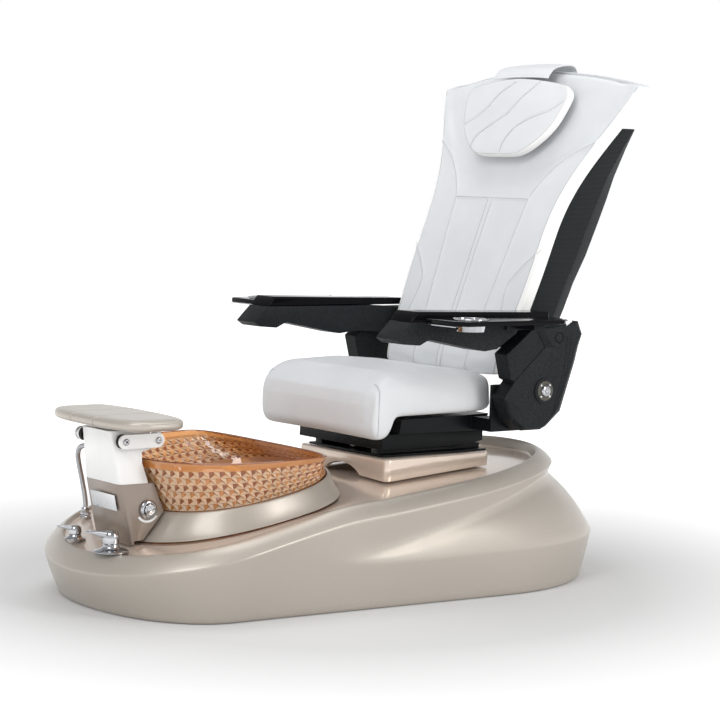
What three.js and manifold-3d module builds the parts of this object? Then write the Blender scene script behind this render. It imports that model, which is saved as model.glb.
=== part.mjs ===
// Pedicure spa chair: a moulded tub base with a glass bowl, a footrest column, and a reclining
// massage seat on a sliding carriage. Millimetres, +Z up, the feet point to -Y, the sitter's left is +X.
// The origin is on the floor, under the middle of the base.
import * as THREE from 'three';
import { mergeVertices } from 'three/addons/utils/BufferGeometryUtils.js';
import Module from 'manifold-3d';

const wasm = await Module();
wasm.setup();

// ---------------------------------------------------------------- driving dimensions
const GAP = 0.4;                 // air between pieces that touch
const FLOOR_PLAN = { half: 334, noseAt: -490, noseLen: 216, noseExp: 2.12, tailHalf: 399, tailAt: 318,
  tailLen: 433, tailExp: 2.14 };
const RIM_PLAN = { half: 372, noseAt: -465, noseLen: 294, noseExp: 1.95, tailHalf: 376, tailAt: 98,
  tailLen: 573, tailExp: 2.18 };
const BULGE_PLAN = { half: 350, noseAt: -500, noseLen: 240, noseExp: 2.2, tailHalf: 404, tailAt: 319,
  tailLen: 441, tailExp: 2.43 };
const VALLEY_PLAN = { half: 362, noseAt: -465, noseLen: 284, noseExp: 1.95, tailHalf: 366, tailAt: 98,
  tailLen: 562, tailExp: 2.18 };
const HULL_WALL = 9;             // thickness of the moulded shell
const COLLAR_BOTTOM = { cy: -266, a: 277, front: 345, rear: 207, exp: 2.37 };
const COLLAR_TOP = { cy: -310, a: 248, front: 242, rear: 240, exp: 2.35 };
const COLLAR_WALL = 7;
const BOWL_RIM = { cy: -255, a: 303, front: 344, rear: 66, exp: 2.75, rearExp: 3.6 };
const BOWL_NECK = { cy: -310, a: 239, front: 233, rear: 231, exp: 2.35 };
const BOWL_FLOOR = { cy: -310, a: 190, front: 180, rear: 175, exp: 2.3 };
const BOWL_RIM_Z = 366;
const BOWL_FLOOR_Z = 188;
const BOWL_WALL = 8;
const DRAIN_RADIUS = 27;
const PLATFORM = { front: 45, rear: 407, halfFront: 188, halfRear: 168, top: 335 };
const SEAT_HALF = 248;           // half width of the seat cushion
const RECLINE_PIVOT = [424, 510];   // y, z of the backrest hinge
const ARM_PIVOT = [472, 645];       // y, z of the armrest hinge
const ARM_INNER = 262;
const ARM_OUTER = 345;
const HOUSING_INNER = 292;
const HOUSING_OUTER = 352;
const TRAY = { inner: 354, outer: 500, front: 14, rear: 384, bottom: 692, thick: 12, pinX: 404, pinY: 338 };
const CUP_RADIUS = 41;
const PAD = { halfX: 204, centreY: -628, halfY: 102, top: 467, thick: 29, seam: 51 };
const LINK = { frontY: -665, rearY: -575, z: 407, x0: 93, x1: 100, r: 17.5 };
const BOLT_RADIUS = 5;
const COLUMN_SEAM_Z = 303;
const HOSE_RADIUS = 6.5;

// ---------------------------------------------------------------- materials
const paint = (color, roughness, metalness) => new THREE.MeshStandardMaterial({ color, roughness,
  metalness });
const champagne = () => paint(0xcbbcab, 0.32, 0.55);
const leather = () => paint(0xf0f0ee, 0.5, 0);
const blackPlastic = () => paint(0x1b1d1f, 0.6, 0);
const blackGloss = () => paint(0x0c0d0f, 0.12, 0);
const whiteGloss = () => paint(0xf2f2f0, 0.25, 0);
const chrome = () => paint(0xe4e6ea, 0.08, 1);
const steel = () => paint(0x9a9ea3, 0.4, 0.9);
const amber = () => paint(0xd98a4a, 0.1, 0);
const rubber = () => paint(0x16171a, 0.85, 0);
const greyPlastic = () => paint(0x6d7176, 0.6, 0);

const chair = new THREE.Group();

function add(name, geometry, material, position = [0, 0, 0], group = chair) {
  const mesh = new THREE.Mesh(geometry, material);
  mesh.name = name;
  mesh.position.set(...position);
  group.add(mesh);
  return mesh;
}

// ---------------------------------------------------------------- geometry helpers
const lerp = THREE.MathUtils.lerp;
const smooth = (v, from, to) => THREE.MathUtils.smoothstep(v, from, to);

function signedVolume(points, faces) {
  let six = 0;
  for (const [a, b, c] of faces) {
    six += points[a].dot(new THREE.Vector3().crossVectors(points[b], points[c]));
  }
  return six;
}

function bodyFrom(points, faces) {
  const outward = signedVolume(points, faces) > 0 ? faces : faces.map(([a, b, c]) => [a, c, b]);
  const geometry = new THREE.BufferGeometry();
  geometry.setAttribute('position', new THREE.Float32BufferAttribute(points.flatMap((p) => p.toArray()),
    3));
  geometry.setIndex(outward.flat());
  return geometry;
}

// A skin through closed rings of equal length. loop joins the last ring to the first; otherwise
// both ends are closed by a fan.
function skin(rings, loop = false) {
  const count = rings[0].length;
  const points = rings.flat();
  const faces = [];
  const last = loop ? rings.length : rings.length - 1;
  for (let r = 0; r < last; r += 1) {
    const lower = r * count;
    const upper = ((r + 1) % rings.length) * count;
    for (let i = 0; i < count; i += 1) {
      const next = (i + 1) % count;
      faces.push([lower + i, lower + next, upper + next]);
      faces.push([lower + i, upper + next, upper + i]);
    }
  }
  if (!loop) {
    for (const [start, flip] of [[0, true], [(rings.length - 1) * count, false]]) {
      const centre = new THREE.Vector3();
      for (let i = 0; i < count; i += 1) centre.addScaledVector(points[start + i], 1 / count);
      const hub = points.push(centre) - 1;
      for (let i = 0; i < count; i += 1) {
        const next = (i + 1) % count;
        faces.push(flip ? [hub, start + next, start + i] : [hub, start + i, start + next]);
      }
    }
  }
  return bodyFrom(points, faces);
}

const box = (x0, x1, y0, y1, z0, z1) =>
  new THREE.BoxGeometry(x1 - x0, y1 - y0, z1 - z0).translate((x0 + x1) / 2, (y0 + y1) / 2, (z0 + z1) / 2);

function shapeOf(points) {
  return new THREE.Shape(points.map(([u, v]) => new THREE.Vector2(u, v)));
}

function extruded(shape, depth, bevel, bevelSegments = 1) {
  return new THREE.ExtrudeGeometry(shape, {
    depth: depth - 2 * bevel, bevelEnabled: bevel > 0, bevelThickness: bevel, bevelSize: bevel,
    bevelOffset: -bevel, bevelSegments, curveSegments: 10, steps: 1,
  }).translate(0, 0, bevel);
}

// Outline given as [y, z] points, extruded from x0 to x1.
function alongX(points, x0, x1, bevel = 0) {
  const basis = new THREE.Matrix4().makeBasis(
    new THREE.Vector3(0, 1, 0), new THREE.Vector3(0, 0, 1), new THREE.Vector3(1, 0, 0));
  return extruded(shapeOf(points), x1 - x0, bevel).applyMatrix4(basis).translate(x0, 0, 0);
}

// Outline given as [x, y] points, extruded from z0 to z1.
function alongZ(points, z0, z1, bevel = 0) {
  return extruded(shapeOf(points), z1 - z0, bevel).translate(0, 0, z0);
}

// A turned piece: profile of [radius, height] from the axis back to the axis, its axis along the
// given direction.
function turned(profile, axis = 'z', segments = 20) {
  const geometry = new THREE.LatheGeometry(profile.map(([r, h]) => new THREE.Vector2(r, h)), segments);
  geometry.rotateX(Math.PI / 2);
  if (axis === 'x') geometry.rotateY(Math.PI / 2);
  if (axis === '-x') geometry.rotateY(-Math.PI / 2);
  if (axis === 'y') geometry.rotateX(-Math.PI / 2);
  return geometry;
}

const disc = (radius, height, axis = 'z', segments = 20) =>
  turned([[0, 0], [radius, 0], [radius, height], [0, height]], axis, segments);

function solid(geometry) {
  const plain = geometry.clone();
  plain.deleteAttribute('normal');
  plain.deleteAttribute('uv');
  const merged = mergeVertices(plain, 1e-3);
  return new wasm.Manifold(new wasm.Mesh({
    numProp: 3,
    vertProperties: new Float32Array(merged.attributes.position.array),
    triVerts: new Uint32Array(merged.index.array),
  }));
}

function geometryOf(body) {
  const mesh = body.getMesh();
  const geometry = new THREE.BufferGeometry();
  geometry.setAttribute('position', new THREE.BufferAttribute(new Float32Array(mesh.vertProperties), 3));
  geometry.setIndex(new THREE.BufferAttribute(new Uint32Array(mesh.triVerts), 1));
  return geometry;
}

const cut = (geometry, ...tools) =>
  geometryOf(tools.reduce((body, tool) => body.subtract(solid(tool)), solid(geometry)));
const join = (...parts) => geometryOf(parts.slice(1).reduce((body, part) => body.add(solid(part)),
  solid(parts[0])));

function mirrorX(geometry) {
  const flipped = geometry.clone().scale(-1, 1, 1);
  const count = flipped.attributes.position.count;
  const index = flipped.index ? Array.from(flipped.index.array) : Array.from({ length: count },
    (_, i) => i);
  for (let i = 0; i < index.length; i += 3) [index[i + 1], index[i + 2]] = [index[i + 2], index[i + 1]];
  flipped.setIndex(index);
  return flipped;
}
const sided = (geometry, sign) => (sign > 0 ? geometry : mirrorX(geometry));

const capsule = (u0, u1, v, radius) => {
  const points = [];
  for (let i = 0; i <= 8; i += 1) {
    const a = Math.PI / 2 + (Math.PI * i) / 8;
    points.push([u0 + radius * Math.cos(a), v + radius * Math.sin(a)]);
  }
  for (let i = 0; i <= 8; i += 1) {
    const a = -Math.PI / 2 + (Math.PI * i) / 8;
    points.push([u1 + radius * Math.cos(a), v + radius * Math.sin(a)]);
  }
  return points;
};

// ---------------------------------------------------------------- plan outlines of the base
const NOSE_STEPS = 8;
const SIDE_STEPS = 6;
const TAIL_STEPS = 7;

// One half of the outline, from the nose round the left side to the tail, then its mirror image.
function outline(plan) {
  const half = [];
  for (let i = 0; i <= NOSE_STEPS; i += 1) {
    const t = (Math.PI / 2) * (1 - i / NOSE_STEPS);
    half.push([plan.half * Math.cos(t) ** (2 / plan.noseExp),
      plan.noseAt - plan.noseLen * Math.sin(t) ** (2 / plan.noseExp)]);
  }
  for (let i = 1; i < SIDE_STEPS; i += 1) {
    const k = i / SIDE_STEPS;
    half.push([lerp(plan.half, plan.tailHalf, k), lerp(plan.noseAt, plan.tailAt, k)]);
  }
  for (let i = 0; i <= TAIL_STEPS; i += 1) {
    const t = (Math.PI / 2) * (i / TAIL_STEPS);
    half.push([plan.tailHalf * Math.cos(t) ** (2 / plan.tailExp),
      plan.tailAt + plan.tailLen * Math.sin(t) ** (2 / plan.tailExp)]);
  }
  half[0][0] = 0;
  half[half.length - 1][0] = 0;
  const mirrored = half.slice(1, -1).reverse().map(([x, y]) => [-x, y]);
  return [...half, ...mirrored];
}

function inset(points, distance) {
  const n = points.length;
  return points.map(([x, y], i) => {
    const [ax, ay] = points[(i + n - 1) % n];
    const [bx, by] = points[(i + 1) % n];
    const length = Math.hypot(bx - ax, by - ay);
    return [x - (distance * (by - ay)) / length, y + (distance * (bx - ax)) / length];
  });
}

const mixed = (a, b, k) => a.map(([x, y], i) => [lerp(x, b[i][0], k), lerp(y, b[i][1], k)]);
const raised = (points, heightAt) => points.map(([x, y]) => new THREE.Vector3(x, y, heightAt(x, y)));

// A closed curve that is a superellipse in plan, with its own front and rear lengths.
function oval({ cy, a, front, rear, exp, rearExp = exp }, steps = NOSE_STEPS + SIDE_STEPS + TAIL_STEPS) {
  const half = [];
  for (let i = 0; i <= steps; i += 1) {
    const t = -Math.PI / 2 + (Math.PI * i) / steps;
    const reach = Math.sin(t) < 0 ? front : rear;
    const e = Math.sin(t) < 0 ? exp : rearExp;
    half.push([a * Math.max(Math.cos(t), 0) ** (2 / e),
      cy + Math.sign(Math.sin(t)) * reach * Math.abs(Math.sin(t)) ** (2 / e)]);
  }
  half[0][0] = 0;
  half[steps][0] = 0;
  return [...half, ...half.slice(1, -1).reverse().map(([x, y]) => [-x, y])];
}

// Height of the hull's rim crease along the base: it climbs from the nose and levels at the tail.
function rimHeight(y) {
  const u = (y + 800) / 1000;
  const front = 88.7 + 244 * u - 42.7 * u * u;
  const rear = 237.6 + 0.1074 * y;
  return lerp(front, rear, smooth(y, -300, -50));
}
const bulgeHeight = (y) => 115 + 0.015 * y;
const valleyHeight = (y) => Math.min(160 + 0.2286 * y, 258 + 0.02 * y);
const deckDrop = (y) => lerp(20, 3, smooth(y, -350, 250));
const collarFootHeight = (y) => 204 + 0.204 * (y + 400);
const collarTopHeight = (y) => 258 + 0.1845 * (y + 400);

// ---------------------------------------------------------------- base
const floorLine = outline(FLOOR_PLAN);
const rimLine = outline(RIM_PLAN);
const bulgeLine = outline(BULGE_PLAN);
const valleyLine = outline(VALLEY_PLAN);

// The front of the hull is one convex wall from floor to rim; the tail has a lower bulge, a valley
// above it and an upper wall. share is how far up the front wall this ring lies.
function hullRing(share, tailPoints, tailHeight, depth = 0) {
  const ring = floorLine.map(([fx, fy], i) => {
    const [rx, ry] = rimLine[i];
    const noseness = 1 - smooth(ry, -720, -330);
    const reach = lerp(share, 1 - (1 - share) ** 1.3, noseness);
    const front = [lerp(fx, rx, reach), lerp(fy, ry, reach)];
    const tail = smooth(ry, -330, -60);
    return [lerp(front[0], tailPoints[i][0], tail), lerp(front[1], tailPoints[i][1], tail)];
  });
  const height = (x, y) => lerp(share * rimHeight(y), tailHeight(y), smooth(y, -330, -60));
  return raised(depth ? inset(ring, depth) : ring, height);
}

const deckEdgeInset = 52;
const deckEdgeRing = raised(inset(rimLine, deckEdgeInset), (x, y) => rimHeight(y) + deckDrop(y));
const deckHoleRing = raised(oval({ ...COLLAR_BOTTOM, a: COLLAR_BOTTOM.a - 12,
  front: COLLAR_BOTTOM.front - 12, rear: COLLAR_BOTTOM.rear - 12 }),
  (x, y) => collarFootHeight(y) - 3);

// Height of the deck's top surface at a point, read off its ruled skin.
function deckHeight(x, y) {
  const n = deckEdgeRing.length;
  for (let i = 0; i < n; i += 1) {
    const next = (i + 1) % n;
    const near = [deckEdgeRing[i], deckEdgeRing[next], deckHoleRing[next]];
    const far = [deckEdgeRing[i], deckHoleRing[next], deckHoleRing[i]];
    for (const [a, b, c] of [near, far]) {
      const area = (b.x - a.x) * (c.y - a.y) - (c.x - a.x) * (b.y - a.y);
      const u = ((x - a.x) * (c.y - a.y) - (c.x - a.x) * (y - a.y)) / area;
      const v = ((b.x - a.x) * (y - a.y) - (x - a.x) * (b.y - a.y)) / area;
      if (u >= -1e-6 && v >= -1e-6 && u + v <= 1 + 1e-6) return a.z + u * (b.z - a.z) + v * (c.z - a.z);
    }
  }
  return rimHeight(y) + deckDrop(y);
}

function baseShell() {
  const rimAt = (extra) => (x, y) => rimHeight(y) + extra;
  const outer = [
    raised(inset(floorLine, 8), () => 0),
    hullRing(0.05, floorLine, () => 9),
    hullRing(0.3, mixed(floorLine, bulgeLine, 0.5), () => 62),
    hullRing(0.5, bulgeLine, bulgeHeight),
    hullRing(0.62, mixed(bulgeLine, valleyLine, 0.45), (y) => lerp(bulgeHeight(y), valleyHeight(y), 0.62)),
    hullRing(0.74, valleyLine, valleyHeight),
    hullRing(0.87, mixed(valleyLine, rimLine, 0.4), (y) => lerp(valleyHeight(y), rimHeight(y), 0.5)),
    raised(rimLine, rimAt(0)),
    raised(inset(rimLine, 7), rimAt(15)),
    raised(inset(rimLine, 22), rimAt(27)),
    raised(inset(rimLine, 43), rimAt(32)),
    raised(inset(rimLine, 49), (x, y) => rimHeight(y) + lerp(32, deckDrop(y), 0.5)),
    deckEdgeRing,
    deckHoleRing,
  ];
  const inner = [
    deckHoleRing.map((p) => p.clone().setZ(p.z - HULL_WALL)),
    deckEdgeRing.map((p) => p.clone().setZ(p.z - HULL_WALL)),
    raised(inset(rimLine, 40), (x, y) => rimHeight(y) + Math.min(deckDrop(y), 12) - HULL_WALL),
    raised(inset(rimLine, HULL_WALL + 5), rimAt(-6)),
    hullRing(0.74, valleyLine, valleyHeight, HULL_WALL + 2),
    hullRing(0.5, bulgeLine, bulgeHeight, HULL_WALL + 6),
    hullRing(0.3, mixed(floorLine, bulgeLine, 0.5), () => 62, HULL_WALL),
    raised(inset(floorLine, HULL_WALL + 8), () => 0),
  ];
  return skin([...outer, ...inner], true);
}

add('base_shell', baseShell(), champagne());
add('base_pan', alongZ(inset(floorLine, HULL_WALL + 14), 0, 6), steel());

function bowlCollar() {
  const shrink = (o, d) => ({ ...o, a: o.a - d, front: o.front - d, rear: o.rear - d });
  const mid = (o, p, k) => mixed(oval(o), oval(p), k);
  return skin([
    raised(oval(COLLAR_BOTTOM), (x, y) => collarFootHeight(y) + GAP),
    raised(mid(COLLAR_BOTTOM, COLLAR_TOP, 0.3), (x, y) => lerp(collarFootHeight(y), collarTopHeight(y),
      0.22)),
    raised(oval(COLLAR_TOP), (x, y) => collarTopHeight(y) - 3),
    raised(oval(shrink(COLLAR_TOP, 3)), (x, y) => collarTopHeight(y)),
    raised(oval(shrink(COLLAR_TOP, COLLAR_WALL)), (x, y) => collarTopHeight(y) - 2),
    raised(mid(shrink(COLLAR_BOTTOM, COLLAR_WALL), shrink(COLLAR_TOP, COLLAR_WALL), 0.3),
      (x, y) => lerp(collarFootHeight(y), collarTopHeight(y), 0.2)),
    raised(oval(shrink(COLLAR_BOTTOM, COLLAR_WALL + 2)), (x, y) => collarFootHeight(y) + GAP),
  ], true);
}
add('bowl_collar', bowlCollar(), champagne());

function bowl() {
  const shrink = (o, d) => ({ ...o, a: o.a - d, front: o.front - d, rear: o.rear - d });
  const circle = (r) => oval({ cy: BOWL_FLOOR.cy, a: r, front: r, rear: r, exp: 2 });
  const neckHeight = (x, y) => collarTopHeight(y) + 2;
  const wallRing = (k, d) => raised(mixed(oval(shrink(BOWL_NECK, d)), oval(shrink(BOWL_RIM, d)), k),
    (x, y) => lerp(neckHeight(x, y), BOWL_RIM_Z + 0.028 * (y + 400), k));
  return skin([
    raised(circle(DRAIN_RADIUS), () => BOWL_FLOOR_Z - BOWL_WALL),
    raised(oval(shrink(BOWL_FLOOR, 25)), () => BOWL_FLOOR_Z - BOWL_WALL),
    raised(oval(BOWL_FLOOR), () => BOWL_FLOOR_Z - BOWL_WALL + 8),
    wallRing(0, 0),
    wallRing(0.4, 0),
    wallRing(0.85, 0),
    raised(oval(BOWL_RIM), (x, y) => BOWL_RIM_Z + 0.028 * (y + 400)),
    wallRing(1.0, BOWL_WALL),
    wallRing(0.45, BOWL_WALL),
    wallRing(0, BOWL_WALL),
    raised(oval(shrink(BOWL_FLOOR, BOWL_WALL)), () => BOWL_FLOOR_Z + 8),
    raised(oval(shrink(BOWL_FLOOR, 30)), () => BOWL_FLOOR_Z),
    raised(circle(DRAIN_RADIUS), () => BOWL_FLOOR_Z),
  ], true);
}
add('bowl', bowl(), amber());

// Drain: a flange and strainer in the bowl's floor, a tailpiece below it and the discharge pump.
const DRAIN = [0, BOWL_FLOOR.cy, BOWL_FLOOR_Z];
add('drain_strainer',
  turned([[0, -4], [DRAIN_RADIUS - 1, -4], [DRAIN_RADIUS - 1, GAP], [DRAIN_RADIUS + 8, GAP],
  [DRAIN_RADIUS + 6, 4], [0, 5]]), chrome(), DRAIN);
add('drain_pump', join(disc(48, 70).translate(0, 0, 8), disc(19, 110).translate(0, 0, 70),
  box(-20, 20, 30, 110, 14, 52)), blackPlastic(),
  [DRAIN[0], DRAIN[1], 0]);

// Water jet: a magnet drive under the bowl's floor, its impeller and slotted cover inside the bowl.
const JET = [-96, BOWL_FLOOR.cy, BOWL_FLOOR_Z];
add('jet_motor', join(disc(34, 60).translate(0, 0, -60), disc(24, 30).translate(0, 0, -85)), blackPlastic(),
  [JET[0], JET[1], JET[2] - BOWL_WALL - GAP]);
const jetSlots = [-10, 10].map((y) => box(-17, 17, y - 3, y + 3, 8, 30));
add('jet_cover', cut(disc(30, 20, 'z', 20), disc(26, 17, 'z', 20).translate(0, 0, -1), ...jetSlots),
  whiteGloss(),
  [JET[0], JET[1], JET[2] + GAP]);
add('jet_impeller', join(disc(8, 10), box(-20, 20, -2, 2, 1, 8), box(-2, 2, -20, 20, 1, 8)), whiteGloss(),
  [JET[0], JET[1], JET[2] + 3]);

// Steel chassis inside the shell, carrying the seat's platform.
function chassisFrame() {
  const rails = [-130, 130].map((x) => box(x - 20, x + 20, -30, 470, 6.5, 46.5));
  const cross = [-10, 220, 450].map((y) => box(-130, 130, y - 20, y + 20, 6.5, 46.5));
  const posts = [-130, 130].flatMap((x) => [90, 380].map((y) => box(x - 20, x + 20, y - 20, y + 20, 40,
    248)));
  const heads = [90, 380].map((y) => box(-150, 150, y - 20, y + 20, 218, 248));
  return join(...rails, ...cross, ...posts, ...heads);
}
add('chassis_frame', chassisFrame(), steel());
add('power_box', box(-70, 70, 250, 360, 48, 128), greyPlastic());

// Seat platform: a moulded box on the deck with an arch in its front face.
function seatPlatform() {
  const { front, rear, halfFront, halfRear, top } = PLATFORM;
  const corner = 16;
  const steps = 4;
  const edge = (inward) => {
    const corners = [[halfFront, front, -1], [halfRear, rear, 1]];
    const right = corners.flatMap(([half, y, side]) => {
      const points = [];
      for (let i = 0; i <= steps; i += 1) {
        const a = side < 0 ? -Math.PI / 2 + (i * Math.PI) / 2 / steps : (i * Math.PI) / 2 / steps;
        points.push([half - corner + (corner - inward) * Math.cos(a),
          y - side * corner + (corner - inward) * Math.sin(a)]);
      }
      return points;
    });
    const filled = [];
    right.forEach((p, i) => {
      filled.push(p);
      if (i === steps) for (let k = 1; k < 8; k += 1) filled.push([lerp(p[0], right[i + 1][0], k / 8),
        lerp(p[1], right[i + 1][1], k / 8)]);
    });
    const across = (y, x0, x1) => [1, 2, 3, 4, 5].map((k) => [lerp(x0, x1, k / 6), y]);
    const left = filled.slice().reverse().map(([x, y]) => [-x, y]);
    const back = filled[filled.length - 1];
    const first = filled[0];
    return [...filled, ...across(back[1], back[0], -back[0]), ...left,
      ...across(first[1], -first[0], first[0])];
  };
  const body = skin([
    raised(edge(0), (x, y) => deckHeight(x, y) + 6),
    raised(edge(0), () => top - 5),
    raised(edge(1.5), () => top - 1.5),
    raised(edge(5), () => top),
  ]);
  const arch = turned([[0, 0], [92, 0], [92, 55], [0, 55]], 'y', 28);
  arch.scale(1, 1, 0.62).translate(0, front - 1, 250);
  const hollow = box(-148, 148, front + 16, rear - 16, 200, top - 6);
  return cut(body, arch, hollow);
}
add('seat_platform', seatPlatform(), champagne());
function slideBase() {
  const plate = box(-160, 160, 58, 400, PLATFORM.top + GAP, PLATFORM.top + 6);
  const rails = [-120, 120].map((x) => box(x - 14, x + 14, 60, 398, PLATFORM.top + 5, PLATFORM.top + 19));
  return join(plate, ...rails);
}
add('slide_base', slideBase(), blackPlastic());

// ---------------------------------------------------------------- footrest column
// Both halves are channels, open to the rear where the bowl enters them.
function channel(levels, wall, rearCut) {
  const outside = skin(levels.map(({ z, front, half, rear }) => raised([
    [half - 14, front], [half - 4, front + 5], [half, front + 14], [half + 3, rear],
    [-half - 3, rear], [-half, front + 14], [-half + 4, front + 5], [-half + 14, front],
  ], () => z)));
  const inside = skin(levels.map(({ z, front, half, rear }, i) => raised([
    [half - wall, front + wall], [half + 3 - wall, rear + 5],
    [-half - 3 + wall, rear + 5], [-half + wall, front + wall],
  ], () => z + (i === 0 ? -5 : i === levels.length - 1 ? rearCut : 0))));
  return [outside, inside];
}

function columnLower() {
  const levels = [{ z: 152, front: -636, half: 88, rear: -530 },
    { z: COLUMN_SEAM_Z, front: -671, half: 83, rear: -530 }];
  const [outside, inside] = channel(levels, 10, 5);
  const rearTool = alongX([[-629, 100], [-629, 166], [-606, 168], [-549, 233], [-583, 320], [-400, 320],
    [-400, 100]], -200, 200);
  const underTool = alongX([[-700, 100], [-700, 154], [-640, 154], [-598, 170], [-500, 190], [-500, 100]],
    -200, 200);
  return cut(outside, inside, rearTool, underTool);
}
add('column_lower', columnLower(), champagne());

function columnUpper() {
  const levels = [{ z: COLUMN_SEAM_Z + GAP, front: -671, half: 83, rear: -560 },
    { z: 430, front: -691, half: 70, rear: -560 }];
  const [outside, inside] = channel(levels, 10, -8);
  const rearTool = alongX([[-588, 290], [-607, 352], [-607, 378], [-582, 384], [-582, 440], [-500, 440],
    [-500, 290]], -200, 200);
  const shaftHole = disc(BOLT_RADIUS + GAP, 240, 'x', 12).translate(-120, LINK.frontY, LINK.z);
  return cut(outside, inside, rearTool, shaftHole);
}
add('column_upper', columnUpper(), whiteGloss());

const FRONT_LEAN = Math.atan2(35, 151);
const plate = add('name_plate', box(-56, 56, -1.6, 0, -20, 20), chrome(), [4, -665.5, 257]);
plate.rotation.x = FRONT_LEAN;
add('button_bezel', turned([[11, 0], [23, 0], [23, 3], [19, 7], [15.5, 7], [15.5, 1.5], [11, 1.5], [11, 0]],
  'x'), chrome(),
  [90, -594, 241]);
add('flush_button', turned([[0, 0], [14.5, 0], [14.5, 3.5], [12, 5.5], [0, 6.5]], 'x'), chrome(),
  [96.2, -594, 241]);

// Footrest: two link plates on a cross shaft, and a pad in three moulded segments on a bracket.
const boltHead = (x) => turned([[0, 0], [8, 0], [8, 3.5], [6, 5], [4, 5], [4, 2], [0, 2]], 'x',
  12).translate(x, 0, 0);
add('link_shaft', join(disc(BOLT_RADIUS, LINK.x1 + 1 + 80, 'x', 12).translate(-80, 0, 0),
  boltHead(LINK.x1 + GAP)), chrome(),
  [0, LINK.frontY, LINK.z]);
function linkPlate() {
  const holes = [LINK.frontY, LINK.rearY].map((y) => disc(BOLT_RADIUS + GAP, 20, 'x',
    12).translate(LINK.x0 - 6, y, LINK.z));
  return cut(alongX(capsule(LINK.frontY, LINK.rearY, LINK.z, LINK.r), LINK.x0, LINK.x1, 1.2), ...holes);
}
const spacerProfile = [[7, 0], [17, 0], [17, 12], [7, 12], [7, 0]];
for (const [side, sign] of [['left', 1], ['right', -1]]) {
  add(`${side}_link_plate`, sided(linkPlate(), sign), whiteGloss());
  add(`${side}_link_spacer`, turned(spacerProfile, sign > 0 ? '-x' : 'x', 16), rubber(),
    [sign * (LINK.x0 - GAP), LINK.frontY, LINK.z]);
}
add('link_lock_knob', turned([[0, 0], [17, 0], [17, 9], [13, 18], [6, 23], [0, 24]], '-x', 20), chrome(),
  [-LINK.x1 - GAP, LINK.frontY, LINK.z]);

function padSegment(x0, x1) {
  const { centreY, halfX, halfY, top, thick } = PAD;
  const columns = Math.abs(x1) > 60 ? 8 : 2;
  const section = (x) => {
    const k = Math.min(Math.abs(x) / halfX, 0.9999);
    const half = halfY * (1 - k ** 3) ** (1 / 3);
    const swell = Math.min(1, Math.sqrt(Math.max(1 - k ** 12, 0)) + 0.05);
    const points = [];
    for (let i = 0; i < 16; i += 1) {
      const a = (2 * Math.PI * (i + 0.5)) / 16;
      const c = Math.cos(a);
      const s = Math.sin(a);
      const round = (v, e) => Math.sign(v) * Math.abs(v) ** e;
      points.push(new THREE.Vector3(x, centreY + half * round(c, 0.35),
        top - thick / 2 + (thick / 2) * swell * round(s, 0.7)));
    }
    return points;
  };
  const rings = [];
  for (let i = 0; i <= columns; i += 1) {
    const t = i / columns;
    const eased = Math.abs(x1) > 200 ? Math.sin((t * Math.PI) / 2) : t;
    const x = lerp(x0, x1, eased);
    rings.push(section(Math.sign(x) * Math.min(Math.abs(x), halfX - 0.5)));
  }
  return skin(rings);
}
add('footrest_center', padSegment(-PAD.seam + 1, PAD.seam - 1), champagne());
add('footrest_left_end', padSegment(PAD.seam + 1, PAD.halfX), champagne());
add('footrest_right_end', padSegment(-PAD.seam - 1, -PAD.halfX), champagne());
function padBracket() {
  const ears = [1, -1].map((s) => box(s * 88 - 2.5, s * 88 + 2.5, LINK.rearY - 12, LINK.rearY + 12,
    LINK.z - 12, 437));
  const bolts = [1, -1].map((s) => sided(join(disc(BOLT_RADIUS, LINK.x1 - 87, 'x', 12).translate(88, 0, 0),
    boltHead(LINK.x1 + GAP)).translate(0, LINK.rearY, LINK.z), s));
  return join(box(-90.5, 90.5, -600, -552, 432.5, 437.2), ...ears, ...bolts);
}
add('pad_bracket', padBracket(), steel());

// ---------------------------------------------------------------- taps and hand shower
const DECK_TAP = [84, -692];
const DIVERTER = [-112, -676];
// The height at which a round fitting of the given radius just clears the sloping deck.
function deckSeat([x, y], radius) {
  const rim = Array.from({ length: 24 }, (_, i) => (i * Math.PI) / 12);
  return Math.max(...rim.map((a) => deckHeight(x + radius * Math.cos(a),
    y + radius * Math.sin(a)))) + 2 * GAP;
}
const mixerZ = deckSeat(DECK_TAP, 42);
const diverterZ = deckSeat(DIVERTER, 26);
add('mixer_escutcheon', turned([[0, 0], [42, 0], [42, 2], [33, 7], [22, 10], [19, 20], [0, 20]], 'z', 20),
  chrome(),
  [...DECK_TAP, mixerZ]);
add('diverter_base', turned([[0, 0], [26, 0], [26, 2], [18, 6], [15, 12], [0, 12]], 'z', 16), chrome(),
  [...DIVERTER, diverterZ]);
// A domed hub with a broad wedge that narrows towards its tip.
function tapLever(radius, height, reach, turn) {
  const hub = turned([[0, 0], [radius, 0], [radius, height * 0.62], [radius * 0.8, height * 0.88],
    [radius * 0.4, height], [0, height]], 'z', 16);
  const section = (out, half, low, high) => [[-half, low], [half, low], [half, high], [-half, high]]
    .map(([x, z]) => new THREE.Vector3(x, -out, z));
  const wedge = skin([
    section(0, radius * 0.86, height * 0.34, height * 0.9),
    section(reach * 0.6, radius * 0.7, height * 0.55, height * 0.9),
    section(reach, radius * 0.34, height * 0.74, height * 0.9),
  ]);
  return join(hub, wedge).rotateZ(turn);
}
add('mixer_lever', tapLever(20, 31, 62, -0.65), chrome(), [...DECK_TAP, mixerZ + 20.5]);
add('diverter_lever', tapLever(16, 22, 44, -0.6), chrome(), [...DIVERTER, diverterZ + 12.5]);

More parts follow.
